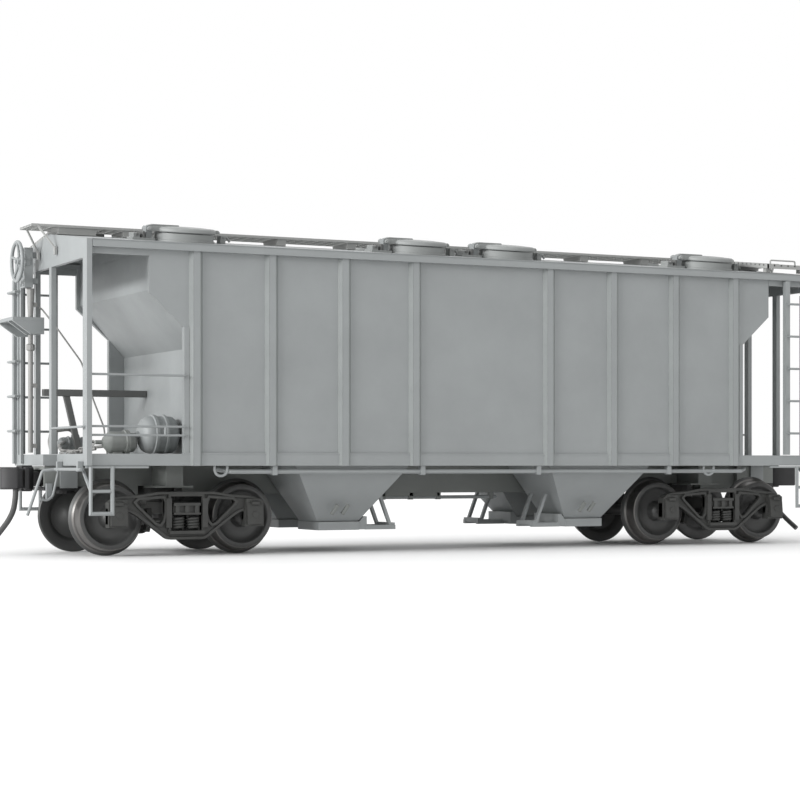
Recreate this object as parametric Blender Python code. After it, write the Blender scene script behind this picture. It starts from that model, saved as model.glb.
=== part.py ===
"""HO-scale two-bay covered hopper car, built as an assembly of separate solids.

Axes: +X runs along the car to its right end, -Y is the front side, +Z is up.
The origin is under the middle of the car, level with the bottoms of the wheel flanges.
"Left" and "right" are the -X and +X ends, "front" and "rear" the -Y and +Y sides.
All the dimensions below are in millimetres.
"""
import math

import bmesh
import bpy
from mathutils import Matrix, Vector

MM = 0.001
GAP = 0.06
WELD = 0.0001

# Track and wheels
FLANGE_DEPTH = 0.64
TREAD_RADIUS = 4.81
WHEEL_WIDTH = 2.8
BACK_TO_BACK = 14.4
AXLE_TIP_Y = 12.9
AXLE_RADIUS = 1.0
JOURNAL_RADIUS = 0.7
WHEELBASE = 19.83
TRUCK_CENTRE_X = 45.8
AXLE_Z = FLANGE_DEPTH + TREAD_RADIUS

# Body
SILL_Z = 12.1 + FLANGE_DEPTH
RIB_PITCH = 11.42
HALF_WIDTH = 17.8
SHEET_Y = 16.9
WALL = 0.8
END_X = 61.7
END_THICKNESS = 0.75
FASCIA_LOW = 28.4
MIDDLE_POSTS = ((-1.2, -0.1), (6.65, 7.75))
SHEET_LOW_X = 47.4
SHEET_HIGH_X = 52.5
SHEET_NOTCH_LOW = 19.3
SHEET_NOTCH_HIGH = 23.9
CHORD_LOW = 29.85
CHORD_TOP = 30.7
RIB_FACE_Y = 17.45
RIB_FOOT_HALF = 1.2
RIB_FACE_HALF = 0.45
SILL_HEIGHT = 1.65
CORE_LOW_X = 45.0
CORE_HIGH_X = 52.0
SLOPE_LOW = 16.6
SLOPE_HIGH = 24.4
FLOOR_LOW = 1.0
DECK_TOP = 0.9

# Hopper bays and outlets
BAY_X = 21.1
CHUTE_TOP_HALF_X = 8.7
CHUTE_BOTTOM_HALF_X = 3.3
CHUTE_OUTER_Y = 16.0
CHUTE_BOTTOM_OUTER_Y = 10.9
CHUTE_INNER_Y = 3.2
CHUTE_BOTTOM_INNER_Y = 4.2
CHUTE_BREAK = -0.6
CHUTE_BOTTOM = -8.2
CHUTE_WALL = 0.5
OUTLET_BOTTOM = -9.5
GATE_RAIL_END_X = 11.8
GATE_HALF_X = 3.3
PINION_NEAR_X = 2.8
PINION_FAR_X = 4.6
RAIL_THICKNESS = 0.65
INNER_RAIL_Y = 6.6

# Roof
ROOF_EDGE_Y = 17.2
ROOF_THICKNESS = 0.6
RIDGE_TOP = 33.25
EAVE_TOP = CHORD_TOP + 0.3
HATCH_X = (44.9, 7.65)
HATCH_Y = 10.0
HATCH_RADIUS = 3.7
COAMING_RADIUS = 4.15
LID_RADIUS = 4.5
LID_LOW = 33.2
LID_TOP = 34.2
LID_HINGE_X = 5.5
HINGE_RISE = 0.4
WALK_TOP = 34.3
WALK_THICKNESS = 0.35
WALK_HALF_WIDTH = 3.0
WALK_END_X = 65.1
LATERAL_X = (52.4, 60.4)
LATERAL_TOP = 34.7
LATERAL_THICKNESS = 0.7
LATERAL_FEET = (7.0, 15.6)
SADDLES = ((1.9, 0.7), (15.0, 0.7), (26.6, 0.7), (38.2, 0.7), (50.7, 0.7), (58.3, 2.8))

# Underframe and couplers
SILL_HALF_WIDTH = 2.6
SILL_DEPTH = 4.2
BOWL_ROOM = 3.4
BOLSTER_DEPTH = 2.9
BOLSTER_END_Y = 8.8
BOLSTER_HALF_X = 1.27
BOLSTER_FLANGE_HALF_X = 2.8
BOX_HALF_WIDTH = 3.5
BOX_HALF_HEIGHT = 1.8 - GAP
BOX_FRONT_X = 63.4
BOX_REAR_X = 56.0
BOX_LAP = 0.3
BOX_WALL = 0.5
COUPLER_Z = 10.3 + FLANGE_DEPTH
COUPLER_PIVOT_X = 59.2
PIVOT_RADIUS = 0.8
PIN_RADIUS = 0.42

# Hand brake, at the left end
BRAKE_Y = 5.9
BRAKE_WHEEL_X = 64.7
BRAKE_WHEEL_H = 29.7
BRAKE_WHEEL_RADIUS = 3.1
BRAKE_RIM = 0.28
BRAKE_SHAFT_END_X = 63.3
HOUSING_X = (-63.9, -62.6)
HOUSING_H = (25.9, 31.7)
ROD_X = -62.7
STEP_TOP = 21.4
STEP_END_X = -66.4

# Air brake gear, on the left deck
AIR_GEAR_Y = -8.0
VALVE_Y = 9.0
LEVER_Y = 5.8
LEVER_H = 10.7

# Ladders
RUNG_PITCH = 5.2
LADDER_SIDE_X = 55.2
LADDER_END_Y = 12.9
LADDER_STAND_OFF = 0.75

# Trucks; heights are above the railhead
FRAME_Y = (12.5, 13.7)
JOURNAL_FACE_Y = (13.5, 14.6)
TRUCK_BOLSTER_LOW = 5.2
TRUCK_BOLSTER_HIGH = 6.9


def point(x, y, z):
    """A position in metres, from millimetres."""
    return Vector((x, y, z)) * MM


def mesh_object(vertices, faces):
    """An object made of the given vertices and faces, with its faces pointing out."""
    mesh = bpy.data.meshes.new("shape")
    mesh.from_pydata([tuple(v) for v in vertices], [], faces)
    shape = bmesh.new()
    shape.from_mesh(mesh)
    bmesh.ops.recalc_face_normals(shape, faces=shape.faces[:])
    shape.to_mesh(mesh)
    shape.free()
    made = bpy.data.objects.new("shape", mesh)
    bpy.context.scene.collection.objects.link(made)
    return made


def loft(rings):
    """A closed solid through rings of equally many points, capped at both ends."""
    count = len(rings[0])
    vertices = [p for ring in rings for p in ring]
    faces = [tuple(range(count)), tuple(range(len(vertices) - count, len(vertices)))]
    for level in range(len(rings) - 1):
        for i in range(count):
            j = (i + 1) % count
            low = level * count
            faces.append((low + i, low + j, low + count + j, low + count + i))
    return mesh_object(vertices, faces)


def prism(axis, outline, low, high):
    """An outline extruded along an axis; it is (y, z), (x, z) or (x, y) for x, y or z."""
    place = {
        "x": lambda p, level: point(level, p[0], p[1]),
        "y": lambda p, level: point(p[0], level, p[1]),
        "z": lambda p, level: point(p[0], p[1], level),
    }[axis]
    return loft([[place(p, level) for p in outline] for level in (low, high)])


def box(x, y, z):
    """A box from a (low, high) pair along each axis."""
    outline = [(x[0], y[0]), (x[1], y[0]), (x[1], y[1]), (x[0], y[1])]
    return prism("z", outline, z[0], z[1])


def around(axis, centre, radius, along, angle):
    """A point on a circle about an axis through centre, in millimetres."""
    a = radius * math.cos(angle)
    b = radius * math.sin(angle)
    x, y, z = centre
    if axis == "x":
        return point(x + along, y + a, z + b)
    if axis == "y":
        return point(x + b, y + along, z + a)
    return point(x + a, y + b, z + along)


def turned(axis, centre, profile, segments, ring=False):
    """A solid turned about an axis from (radius, distance along it) points.

    A profile that isn't a ring starts and ends on the axis.
    """
    vertices = []
    rows = []
    for radius, along in profile:
        start = len(vertices)
        if radius == 0:
            vertices.append(around(axis, centre, 0, along, 0))
            rows.append([start] * segments)
            continue
        for i in range(segments):
            vertices.append(around(axis, centre, radius, along, 2 * math.pi * i / segments))
        rows.append(list(range(start, start + segments)))
    if ring:
        rows.append(rows[0])
    faces = []
    for low, high in zip(rows, rows[1:]):
        for i in range(segments):
            j = (i + 1) % segments
            corners = [low[i], low[j], high[j], high[i]]
            faces.append(tuple(dict.fromkeys(corners)))
    return mesh_object(vertices, faces)


def cylinder(axis, centre, radius, low, high, segments):
    """A plain cylinder between two distances along an axis through centre."""
    return turned(axis, centre, [(0, low), (radius, low), (radius, high), (0, high)], segments)


def tube(path, radius, sides=8):
    """A round bar along a path of (x, y, z) points, mitred at its corners."""
    spots = [point(*p) for p in path]
    ways = [(b - a).normalized() for a, b in zip(spots, spots[1:])]
    side = ways[0].orthogonal().normalized()
    other = ways[0].cross(side)
    turn = [2 * math.pi * (i + 0.5) / sides for i in range(sides)]
    ring = [spots[0] + (side * math.cos(t) + other * math.sin(t)) * radius * MM for t in turn]
    rings = [ring]
    for i, way in enumerate(ways):
        following = ways[i + 1] if i + 1 < len(ways) else way
        normal = (way + following).normalized()
        end = spots[i + 1]
        ring = [p + way * ((end - p).dot(normal) / way.dot(normal)) for p in ring]
        rings.append(ring)
    return loft(rings)


def bar(start, end, width, thickness, across):
    """A flat bar between two points; its width runs along the direction across."""
    a = point(*start)
    b = point(*end)
    way = (b - a).normalized()
    wide = Vector(across) - way * way.dot(Vector(across))
    wide = wide.normalized() * width * MM / 2
    thick = way.cross(wide).normalized() * thickness * MM / 2
    corners = (wide + thick, wide - thick, -wide - thick, thick - wide)
    return loft([[end_point + c for c in corners] for end_point in (a, b)])


def combine(base, others, operation):
    """The union of base and others, or base with the others cut out of it."""
    for other in others:
        step = base.modifiers.new(operation.lower(), "BOOLEAN")
        step.operation = operation
        step.solver = "EXACT"
        step.object = other
        bpy.context.view_layer.update()
        evaluated = base.evaluated_get(bpy.context.evaluated_depsgraph_get())
        result = bpy.data.meshes.new_from_object(evaluated)
        base.modifiers.clear()
        base.data = result
        bpy.data.objects.remove(other)
        weld(base.data)
    return base


def weld(mesh):
    """Join the vertices that rounding has split."""
    shape = bmesh.new()
    shape.from_mesh(mesh)
    bmesh.ops.remove_doubles(shape, verts=shape.verts[:], dist=WELD * MM)
    shape.to_mesh(mesh)
    shape.free()


def paint(name, colour, roughness, metallic=0.0):
    """A material with one colour, roughness and metallic value."""
    made = bpy.data.materials.new(name)
    made.use_nodes = True
    shader = made.node_tree.nodes["Principled BSDF"]
    shader.inputs["Base Color"].default_value = (*colour, 1.0)
    shader.inputs["Roughness"].default_value = roughness
    shader.inputs["Metallic"].default_value = metallic
    return made


def part(name, finish, add, cut=(), origin=(0, 0, 0), smooth=False):
    """One named sub-part: the union of some shapes, less the cut ones."""
    made = combine(add[0], add[1:], "UNION")
    combine(made, cut, "DIFFERENCE")
    made.name = name
    made.data.name = name
    made.data.materials.clear()
    made.data.materials.append(finish)
    pivot = point(*origin)
    for vertex in made.data.vertices:
        vertex.co -= pivot
    made.location = pivot
    if smooth:
        made.data.shade_smooth()
        made.data.set_sharp_from_angle(angle=math.radians(35))
    return made


def sill(h):
    """Height in the part's frame of something h above the bottom of the side sills."""
    return SILL_Z + h


def roof_height(y):
    """Height of the roof's upper surface above the sill bottoms, y from the middle."""
    return RIDGE_TOP - (RIDGE_TOP - EAVE_TOP) * abs(y) / ROOF_EDGE_Y


def side_panel(name, side, finish):
    """A side sheet with its eight ribs, top chord and side sill."""
    inner = side * (SHEET_Y - WALL)
    outline = []
    for end in (-1, 1):
        corner = [
            (end * SHEET_LOW_X, sill(0.02)),
            (end * SHEET_LOW_X, sill(SHEET_NOTCH_LOW)),
            (end * SHEET_HIGH_X, sill(SHEET_NOTCH_HIGH)),
            (end * SHEET_HIGH_X, sill(CHORD_LOW + 0.3)),
        ]
        outline += corner if end < 0 else corner[::-1]
    reach = END_X - END_THICKNESS - GAP
    shapes = [prism("y", outline, inner, side * SHEET_Y)]
    band = sorted((inner, side * (SHEET_Y + 0.2)))
    shapes.append(box((-reach, reach), band, (sill(0), sill(SILL_HEIGHT))))
    band = sorted((side * (SHEET_Y - WALL + 0.02), side * HALF_WIDTH))
    shapes.append(box((-reach, reach), band, (sill(CHORD_LOW), sill(CHORD_TOP))))
    for i in range(1, 5):
        for end in (-1, 1):
            x = end * i * RIB_PITCH
            foot = side * (SHEET_Y - 0.3)
            face = side * RIB_FACE_Y
            ring = [(x - RIB_FOOT_HALF, foot), (x + RIB_FOOT_HALF, foot)]
            ring += [(x + RIB_FACE_HALF, face), (x - RIB_FACE_HALF, face)]
            shapes.append(prism("z", ring, sill(-0.02), sill(CHORD_LOW + 0.1)))
    return part(name, finish, shapes)


def hopper_core(finish):
    """The hopper inside the sides: end sheets, slope sheets, floor and the four chutes."""
    outer_y = SHEET_Y - WALL - GAP
    outline = [
        (-CORE_LOW_X, sill(FLOOR_LOW)),
        (-CORE_LOW_X, sill(SLOPE_LOW)),
        (-CORE_HIGH_X, sill(SLOPE_HIGH)),
        (-CORE_HIGH_X, sill(CHORD_LOW)),
    ]
    outline += [(-x, z) for x, z in outline[::-1]]
    hollow = [
        (-CORE_LOW_X + WALL, sill(FLOOR_LOW + WALL)),
        (-CORE_LOW_X + WALL, sill(SLOPE_LOW - 0.3)),
        (-CORE_HIGH_X + WALL, sill(SLOPE_HIGH - 0.3)),
        (-CORE_HIGH_X + WALL, sill(CHORD_LOW + 2.0)),
    ]
    hollow += [(-x, z) for x, z in hollow[::-1]]
    shapes = [prism("y", outline, -outer_y, outer_y)]
    cuts = [prism("y", hollow, WALL - outer_y, outer_y - WALL)]
    for end in (-1, 1):
        for side in (-1, 1):
            shapes.append(chute(end * BAY_X, side, 0.0))
            cuts.append(chute(end * BAY_X, side, CHUTE_WALL))
    return part("hopper_core", finish, shapes, cuts)


def chute(x, side, inset):
    """One tapered chute down to its outlet, or with an inset the hollow inside it."""
    top = FLOOR_LOW + WALL + (0.4 if inset else -0.4)
    bottom = CHUTE_BOTTOM - (0.4 if inset else 0.0)
    slope = (CHUTE_TOP_HALF_X - CHUTE_BOTTOM_HALF_X) / (CHUTE_BREAK - CHUTE_BOTTOM)
    levels = [
        (top, CHUTE_TOP_HALF_X + slope * (top - CHUTE_BREAK), CHUTE_INNER_Y, CHUTE_OUTER_Y),
        (CHUTE_BREAK, CHUTE_TOP_HALF_X, CHUTE_INNER_Y, CHUTE_OUTER_Y),
        (bottom, CHUTE_BOTTOM_HALF_X, CHUTE_BOTTOM_INNER_Y, CHUTE_BOTTOM_OUTER_Y),
    ]
    rings = []
    for h, half, near, far in levels:
        low = near + inset
        high = far - inset
        if inset:
            high -= WALL - inset if h > bottom else 0.0
        half -= inset
        ring = [(x - half, low), (x + half, low), (x + half, high), (x - half, high)]
        rings.append([point(px, side * py, sill(h)) for px, py in ring])
    return loft(rings)


def roof(finish):
    """The gabled roof sheet with its eight round coamings."""
    reach = END_X - END_THICKNESS - GAP
    edge = ROOF_EDGE_Y
    outline = [
        (-edge, sill(CHORD_TOP + GAP)),
        (-edge, sill(EAVE_TOP)),
        (0, sill(RIDGE_TOP)),
        (edge, sill(EAVE_TOP)),
        (edge, sill(CHORD_TOP + GAP)),
        (0, sill(RIDGE_TOP - ROOF_THICKNESS)),
    ]
    shapes = [prism("x", outline, -reach, reach)]
    cuts = []
    for x, y in hatch_places():
        centre = (x, y, sill(0))
        low = roof_height(HATCH_Y) - 0.17
        coaming = cylinder("z", centre, COAMING_RADIUS, low, LID_LOW - GAP, 16)
        shapes.append(lean(coaming, y))
        hole = cylinder("z", centre, HATCH_RADIUS, low - 2.0, LID_LOW + 1.0, 16)
        cuts.append(lean(hole, y))
        shapes.append(lean(hinge_bracket(x, y), y))
    return part("roof", finish, shapes, cuts)


def lean(shape, y):
    """Tilt a shape about a hatch's middle on the roof, from upright to square to the slope."""
    foot = point(0, y, sill(roof_height(HATCH_Y)))
    turn = Matrix.Rotation(roof_angle(y), 4, "X")
    shape.data.transform(Matrix.Translation(foot) @ turn @ Matrix.Translation(-foot))
    return shape


def roof_angle(y):
    """The roof's slope on the side that y is on, as a turn about +X."""
    angle = math.atan2(RIDGE_TOP - EAVE_TOP, ROOF_EDGE_Y)
    return angle if y < 0 else -angle


def hatch_places():
    """Centres of the eight hatches, front row first, from left to right."""
    columns = (-HATCH_X[0], -HATCH_X[1], HATCH_X[1], HATCH_X[0])
    return [(x, y) for y in (-HATCH_Y, HATCH_Y) for x in columns]


def hinge_bracket(x, y):
    """The post on the roof, between the two lugs of a hatch lid's hinge."""
    hinge_x = x - LID_HINGE_X
    low = roof_height(HATCH_Y) - 0.17
    high = LID_LOW + HINGE_RISE + 0.35
    return box((hinge_x - 0.45, hinge_x + 0.45), (y - 0.7, y + 0.7), (sill(low), sill(high)))


def hatch_lid(name, x, y, finish):
    """A round hatch lid with its hinge lugs at the left and its latch tab at the right."""
    centre = (x, y, sill(0))
    profile = [
        (0, LID_LOW),
        (LID_RADIUS, LID_LOW),
        (LID_RADIUS, LID_LOW + 0.5),
        (LID_RADIUS - 0.5, LID_LOW + 0.72),
        (2.4, LID_TOP - 0.08),
        (0, LID_TOP),
    ]
    shapes = [turned("z", centre, profile, 20)]
    hinge_x = x - LID_HINGE_X
    for side in (-1, 1):
        lug = sorted((y + side * 0.8, y + side * 1.5))
        span = (hinge_x - 0.45, x - LID_RADIUS + 0.6)
        shapes.append(box(span, lug, (sill(LID_LOW + 0.05), sill(LID_LOW + 0.7))))
    tab = (x + LID_RADIUS - 0.6, x + LID_RADIUS + 0.7)
    shapes.append(box(tab, (y - 0.9, y + 0.9), (sill(LID_LOW + 0.1), sill(LID_LOW + 0.6))))
    rise = LID_LOW + HINGE_RISE - roof_height(HATCH_Y)
    angle = roof_angle(y)
    hinge = (hinge_x, y - rise * math.sin(angle), sill(roof_height(HATCH_Y) + rise * math.cos(angle)))
    return part(name, finish, [lean(shape, y) for shape in shapes], origin=hinge, smooth=True)


def running_board(finish):
    """The board along the ridge, on saddles that stand on the roof, braced at its ends."""
    top = sill(WALK_TOP)
    low = top - WALK_THICKNESS
    half = WALK_HALF_WIDTH
    shapes = [box((-WALK_END_X, WALK_END_X), (-half, half), (low, top))]
    foot = sill(RIDGE_TOP + GAP)
    for end in (-1, 1):
        for x, reach in SADDLES:
            span = (end * x - reach, end * x + reach)
            shapes.append(box(span, (-half + 0.3, half - 0.3), (foot, low + 0.1)))
        for side in (-1, 1):
            start = (end * (END_X + 0.35), side * 4.2, sill(RIDGE_TOP - 2.4))
            stop = (end * (WALK_END_X - 0.9), side * (half - 0.3), low + 0.15)
            shapes.append(bar(start, stop, 0.5, 0.4, (0, 1, 0)))
    return part("running_board", finish, shapes)


def lateral_board(name, end, finish):
    """The short board that slopes from the running board out to a ladder, on four feet."""
    near = WALK_HALF_WIDTH + 0.15
    far = SHEET_Y
    x = sorted((end * LATERAL_X[0], end * LATERAL_X[1]))
    fall = (RIDGE_TOP - EAVE_TOP) / ROOF_EDGE_Y
    outline = []
    for distance, drop in ((near, 0.0), (far, 0.0), (far, LATERAL_THICKNESS), (near, LATERAL_THICKNESS)):
        outline.append((-end * distance, sill(LATERAL_TOP - fall * distance - drop)))
    shapes = [prism("x", outline, x[0], x[1])]
    for distance in LATERAL_FEET:
        foot = sill(roof_height(distance - 0.4) + GAP)
        high = sill(LATERAL_TOP - fall * (distance + 0.4) - 0.1)
        span = sorted((-end * (distance - 0.4), -end * (distance + 0.4)))
        for start in (x[0] + 0.3, x[1] - 1.1):
            shapes.append(box((start, start + 0.8), span, (foot, high)))
    return part(name, finish, shapes)


def underframe(finish):
    """Centre sill, body bolsters, end decks and the two coupler boxes."""
    half = SILL_HALF_WIDTH
    reach = BOX_REAR_X + BOX_LAP
    shapes = [box((-reach, reach), (-half, half), (sill(-BOLSTER_DEPTH), sill(DECK_TOP)))]
    middle = TRUCK_CENTRE_X - BOWL_ROOM
    shapes.append(box((-middle, middle), (-half, half), (sill(-SILL_DEPTH), sill(0.5))))
    cuts = []
    deck_y = SHEET_Y - WALL - GAP
    top = COUPLER_Z + BOX_HALF_HEIGHT
    bottom = COUPLER_Z - BOX_HALF_HEIGHT + BOX_WALL + GAP
    for end in (-1, 1):
        x = sorted((end * (TRUCK_CENTRE_X + BOWL_ROOM), end * reach))
        shapes.append(box(x, (-half, half), (sill(-SILL_DEPTH), sill(0.5))))
        x = sorted((end * (CORE_LOW_X + GAP), end * (END_X - END_THICKNESS - GAP)))
        shapes.append(box(x, (-deck_y, deck_y), (sill(0.1), sill(DECK_TOP - 0.04))))
        shapes += body_bolster(end * TRUCK_CENTRE_X)
        x = sorted((end * BOX_REAR_X, end * BOX_FRONT_X))
        shapes.append(box(x, (-BOX_HALF_WIDTH, BOX_HALF_WIDTH), (bottom, top)))
        x = sorted((end * BOX_REAR_X, end * (END_X - END_THICKNESS - GAP)))
        shapes.append(box(x, (-half, half), (top - 0.2, sill(DECK_TOP - 0.06))))
        for side in (-1, 1):
            x = sorted((end * 49.5, end * 58.2))
            y = sorted((side * 5.2, side * 13.6))
            cuts.append(box(x, y, (sill(-0.5), sill(DECK_TOP + 0.5))))
        pocket_y = BOX_HALF_WIDTH - BOX_WALL
        x = sorted((end * (BOX_REAR_X + BOX_WALL), end * (BOX_FRONT_X + 1.0)))
        cuts.append(box(x, (-pocket_y, pocket_y), (bottom - 1.0, top - BOX_WALL)))
        centre = (end * TRUCK_CENTRE_X, 0, 0)
        cuts.append(cylinder("z", centre, 1.0, sill(-BOLSTER_DEPTH - 2.0), sill(-0.4), 12))
    made = part("underframe", finish, shapes, cuts)
    posts = [pivot_post(end, top, bottom) for end in (-1, 1)]
    return combine(made, posts, "UNION")


def body_bolster(x):
    """The beam across the car above a truck, with the flanges along its lower edge."""
    half = BOLSTER_HALF_X
    low = sill(-BOLSTER_DEPTH)
    shapes = [box((x - half, x + half), (-BOLSTER_END_Y, BOLSTER_END_Y), (low, sill(DECK_TOP - 0.02)))]
    half = BOLSTER_FLANGE_HALF_X
    for side in (-1, 1):
        y = sorted((side * BOWL_ROOM, side * (BOLSTER_END_Y - 0.01)))
        shapes.append(box((x - half, x + half), y, (low - 0.25, low + 0.02)))
    return shapes


def pivot_post(end, top, bottom):
    """The post in a coupler box that the coupler swings on."""
    centre = (end * COUPLER_PIVOT_X, 0, 0)
    return cylinder("z", centre, PIVOT_RADIUS, bottom, top - BOX_WALL + 0.2, 12)


def coupler_box_lid(name, end, finish):
    """The cover under a coupler box, with its screw head."""
    low = COUPLER_Z - BOX_HALF_HEIGHT
    high = low + BOX_WALL
    x = sorted((end * (BOX_REAR_X + BOX_LAP + GAP), end * BOX_FRONT_X))
    half = BOX_HALF_WIDTH
    plate = box(x, (-half, half), (low, high))
    centre = (end * COUPLER_PIVOT_X, 0, 0)
    screw = cylinder("z", centre, 1.3, low - 0.45, low + 0.2, 14)
    return part(name, finish, [plate, screw])


def end_frame(name, end, finish):
    """An end: sill, corner posts, middle posts and the gabled top sheet."""
    inner = END_X - END_THICKNESS
    x = sorted((end * inner, end * END_X))
    half = HALF_WIDTH
    low = sill(FASCIA_LOW)
    outline = [(-half, low), (half, low), (half, sill(EAVE_TOP - 0.1))]
    outline += [(0, sill(RIDGE_TOP - 0.02)), (-half, sill(EAVE_TOP - 0.1))]
    shapes = [prism("x", outline, x[0], x[1])]
    shapes.append(box(x, (-half, half), (sill(0), sill(SILL_HEIGHT))))
    posts = [(-half + 0.02, -half + 1.9), (half - 1.9, half - 0.02), *MIDDLE_POSTS]
    for near, far in posts:
        y = sorted((-end * near, -end * far))
        shapes.append(box((x[0] + 0.01, x[1] - 0.01), y, (sill(0.5), low + 0.2)))
    block = sorted((end * (inner + 0.1), end * (BOX_FRONT_X + 0.3)))
    half = BOX_HALF_WIDTH + 0.4
    shapes.append(box(block, (-half, half), (sill(0), sill(SILL_HEIGHT - 0.1))))
    return part(name, finish, shapes)


def side_ladder(name, side, finish):
    """The ladder on a side, by the corner that its end ladder shares."""
    end = -side
    y = side * (HALF_WIDTH + 0.1)
    out = side * (HALF_WIDTH + 0.1 + LADDER_STAND_OFF)
    post = sorted((side * (HALF_WIDTH - 0.7), side * (HALF_WIDTH + 0.15)))
    x = sorted((end * LADDER_SIDE_X, end * (LADDER_SIDE_X + 0.8)))
    shapes = [box(x, post, (sill(SILL_HEIGHT + 0.1), sill(CHORD_LOW - 0.1)))]
    post = sorted((side * (HALF_WIDTH - 1.3), side * (HALF_WIDTH + 0.15)))
    far = sorted((end * (END_X - END_THICKNESS - 0.1), end * (END_X - END_THICKNESS - 0.5)))
    shapes.append(box(far, post, (sill(SILL_HEIGHT + 0.1), sill(CHORD_LOW - 0.1))))
    for i in range(1, 6):
        h = sill(i * RUNG_PITCH)
        start = end * (LADDER_SIDE_X + 0.4)
        stop = end * (END_X - END_THICKNESS - 0.3)
        path = [(start, y - side * 0.2, h), (start, out, h), (stop, out, h), (stop, y - side * 0.2, h)]
        shapes.append(tube(path, 0.19, 6))
    return part(name, finish, shapes)


def end_ladder(name, end, finish):
    """The ladder on an end, on its own two stiles."""
    x = end * (END_X + GAP)
    out = end * (END_X + LADDER_STAND_OFF + 0.4)
    thickness = sorted((x, end * (END_X + 0.45)))
    stiles = []
    for low in (LADDER_END_Y, HALF_WIDTH - 0.9):
        y = sorted((-end * low, -end * (low + 0.8)))
        stiles.append(box(thickness, y, (sill(0.3), sill(28.0))))
    rungs = []
    for i in range(1, 6):
        h = sill(i * RUNG_PITCH)
        start = -end * (LADDER_END_Y + 0.4)
        stop = -end * (HALF_WIDTH - 0.5)
        inner = end * (END_X + 0.3)
        path = [(inner, start, h), (out, start, h), (out, stop, h), (inner, stop, h)]
        rungs.append(tube(path, 0.19, 6))
    return part(name, finish, [stiles[0], *rungs, stiles[1]])


def stirrup_step(name, end, side, finish):
    """The step below a corner: two legs, two rungs and a brace to the sill."""
    y = side * (HALF_WIDTH - 0.55)
    top = sill(-GAP)
    low = sill(-6.55)
    outer = end * (END_X - 0.7)
    inner = end * (END_X - 3.8)
    shapes = [tube([(outer, y, top), (outer, y, low), (inner, y, low), (inner, y, top)], 0.28, 6)]
    middle = sill(-3.5)
    shapes.append(tube([(outer, y, middle), (inner, y, middle)], 0.24, 6))
    brace = (outer, side * (HALF_WIDTH - 4.2), sill(-0.35))
    shapes.append(tube([(outer, y, middle + 0.1), brace], 0.24, 6))
    return part(name, finish, shapes)


def train_line(finish):
    """The brake pipe under the front sill, with the clamps that hold it."""
    y = -(SHEET_Y - 0.4)
    h = sill(-0.85)
    path = [(-42.1, y + 1.4, h + 0.35), (-40.3, y, h), (47.2, y, h), (49.0, y + 1.4, h + 0.35)]
    shapes = [tube(path, 0.33, 8)]
    for t in (-2.95, -0.88, 0.85, 2.92):
        x = t * RIB_PITCH
        shapes.append(box((x - 0.35, x + 0.35), (y - 0.5, y + 0.5), (h - 0.5, sill(-GAP))))
    return part("train_line", finish, shapes)


def brake_cylinder(finish):
    """The brake cylinder, on its bridge across the deck's opening."""
    y = AIR_GEAR_Y
    profile = [(0, -57.4), (0.6, -57.4), (0.9, -56.0), (1.5, -55.4), (1.5, -53.2), (1.75, -53.1)]
    profile += [(1.75, -52.6), (1.3, -52.4), (1.3, -51.6), (0, -51.5)]
    cylinder_body = turned("x", (0, y, sill(3.3)), profile, 16)
    foot = box((-55.0, -53.6), (y - 0.9, y + 0.9), (sill(DECK_TOP + GAP), sill(2.6)))
    bridge = box((-58.6, -51.6), (y - 1.9, y + 1.9), (sill(DECK_TOP + GAP), sill(1.35)))
    return part("brake_cylinder", finish, [cylinder_body, foot, bridge], smooth=True)


def air_reservoir(finish):
    """The air reservoir, on its foot beside the hopper's end."""
    y = AIR_GEAR_Y
    profile = [(0, -50.9), (1.3, -50.7), (2.2, -50.2), (2.55, -49.6), (2.55, -49.1), (2.85, -49.05)]
    profile += [(2.85, -48.65), (2.55, -48.6), (2.55, -46.5), (2.2, -45.9), (1.3, -45.4), (0, -45.2)]
    tank = turned("x", (0, y, sill(4.4)), profile, 18)
    foot = box((-48.4, -46.9), (y - 1.2, y + 1.2), (sill(DECK_TOP + GAP), sill(2.6)))
    return part("air_reservoir", finish, [tank, foot], smooth=True)


def control_valve(finish):
    """The control valve, on a foot at the far side of the left deck."""
    y = VALVE_Y
    shapes = [box((-56.4, -53.6), (y - 1.2, y + 1.2), (sill(1.9), sill(4.3)))]
    shapes.append(cylinder("x", (0, y, sill(3.2)), 0.8, -57.6, -52.6, 12))
    shapes.append(box((-55.8, -54.2), (y - 0.8, y + 5.6), (sill(DECK_TOP + GAP), sill(2.1))))
    return part("control_valve", finish, shapes)


def brake_lever(finish):
    """The strut from the end to the hopper, with the brake lever hanging from it."""
    y = LEVER_Y
    near = (-(END_X - END_THICKNESS - GAP), y, sill(LEVER_H))
    far = (-CORE_LOW_X - GAP, y, sill(LEVER_H))
    shapes = [bar(near, far, 1.0, 1.0, (0, 0, 1))]
    lever_foot = (-55.2, y, sill(DECK_TOP + 0.3))
    shapes.append(bar((-57.5, y, sill(LEVER_H + 0.2)), lever_foot, 0.9, 0.7, (1, 0, 0)))
    shapes.append(box((-56.6, -54.6), (y - 0.55, y + 0.8), (sill(DECK_TOP + GAP), sill(2.0))))
    return part("brake_lever", finish, shapes)


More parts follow.
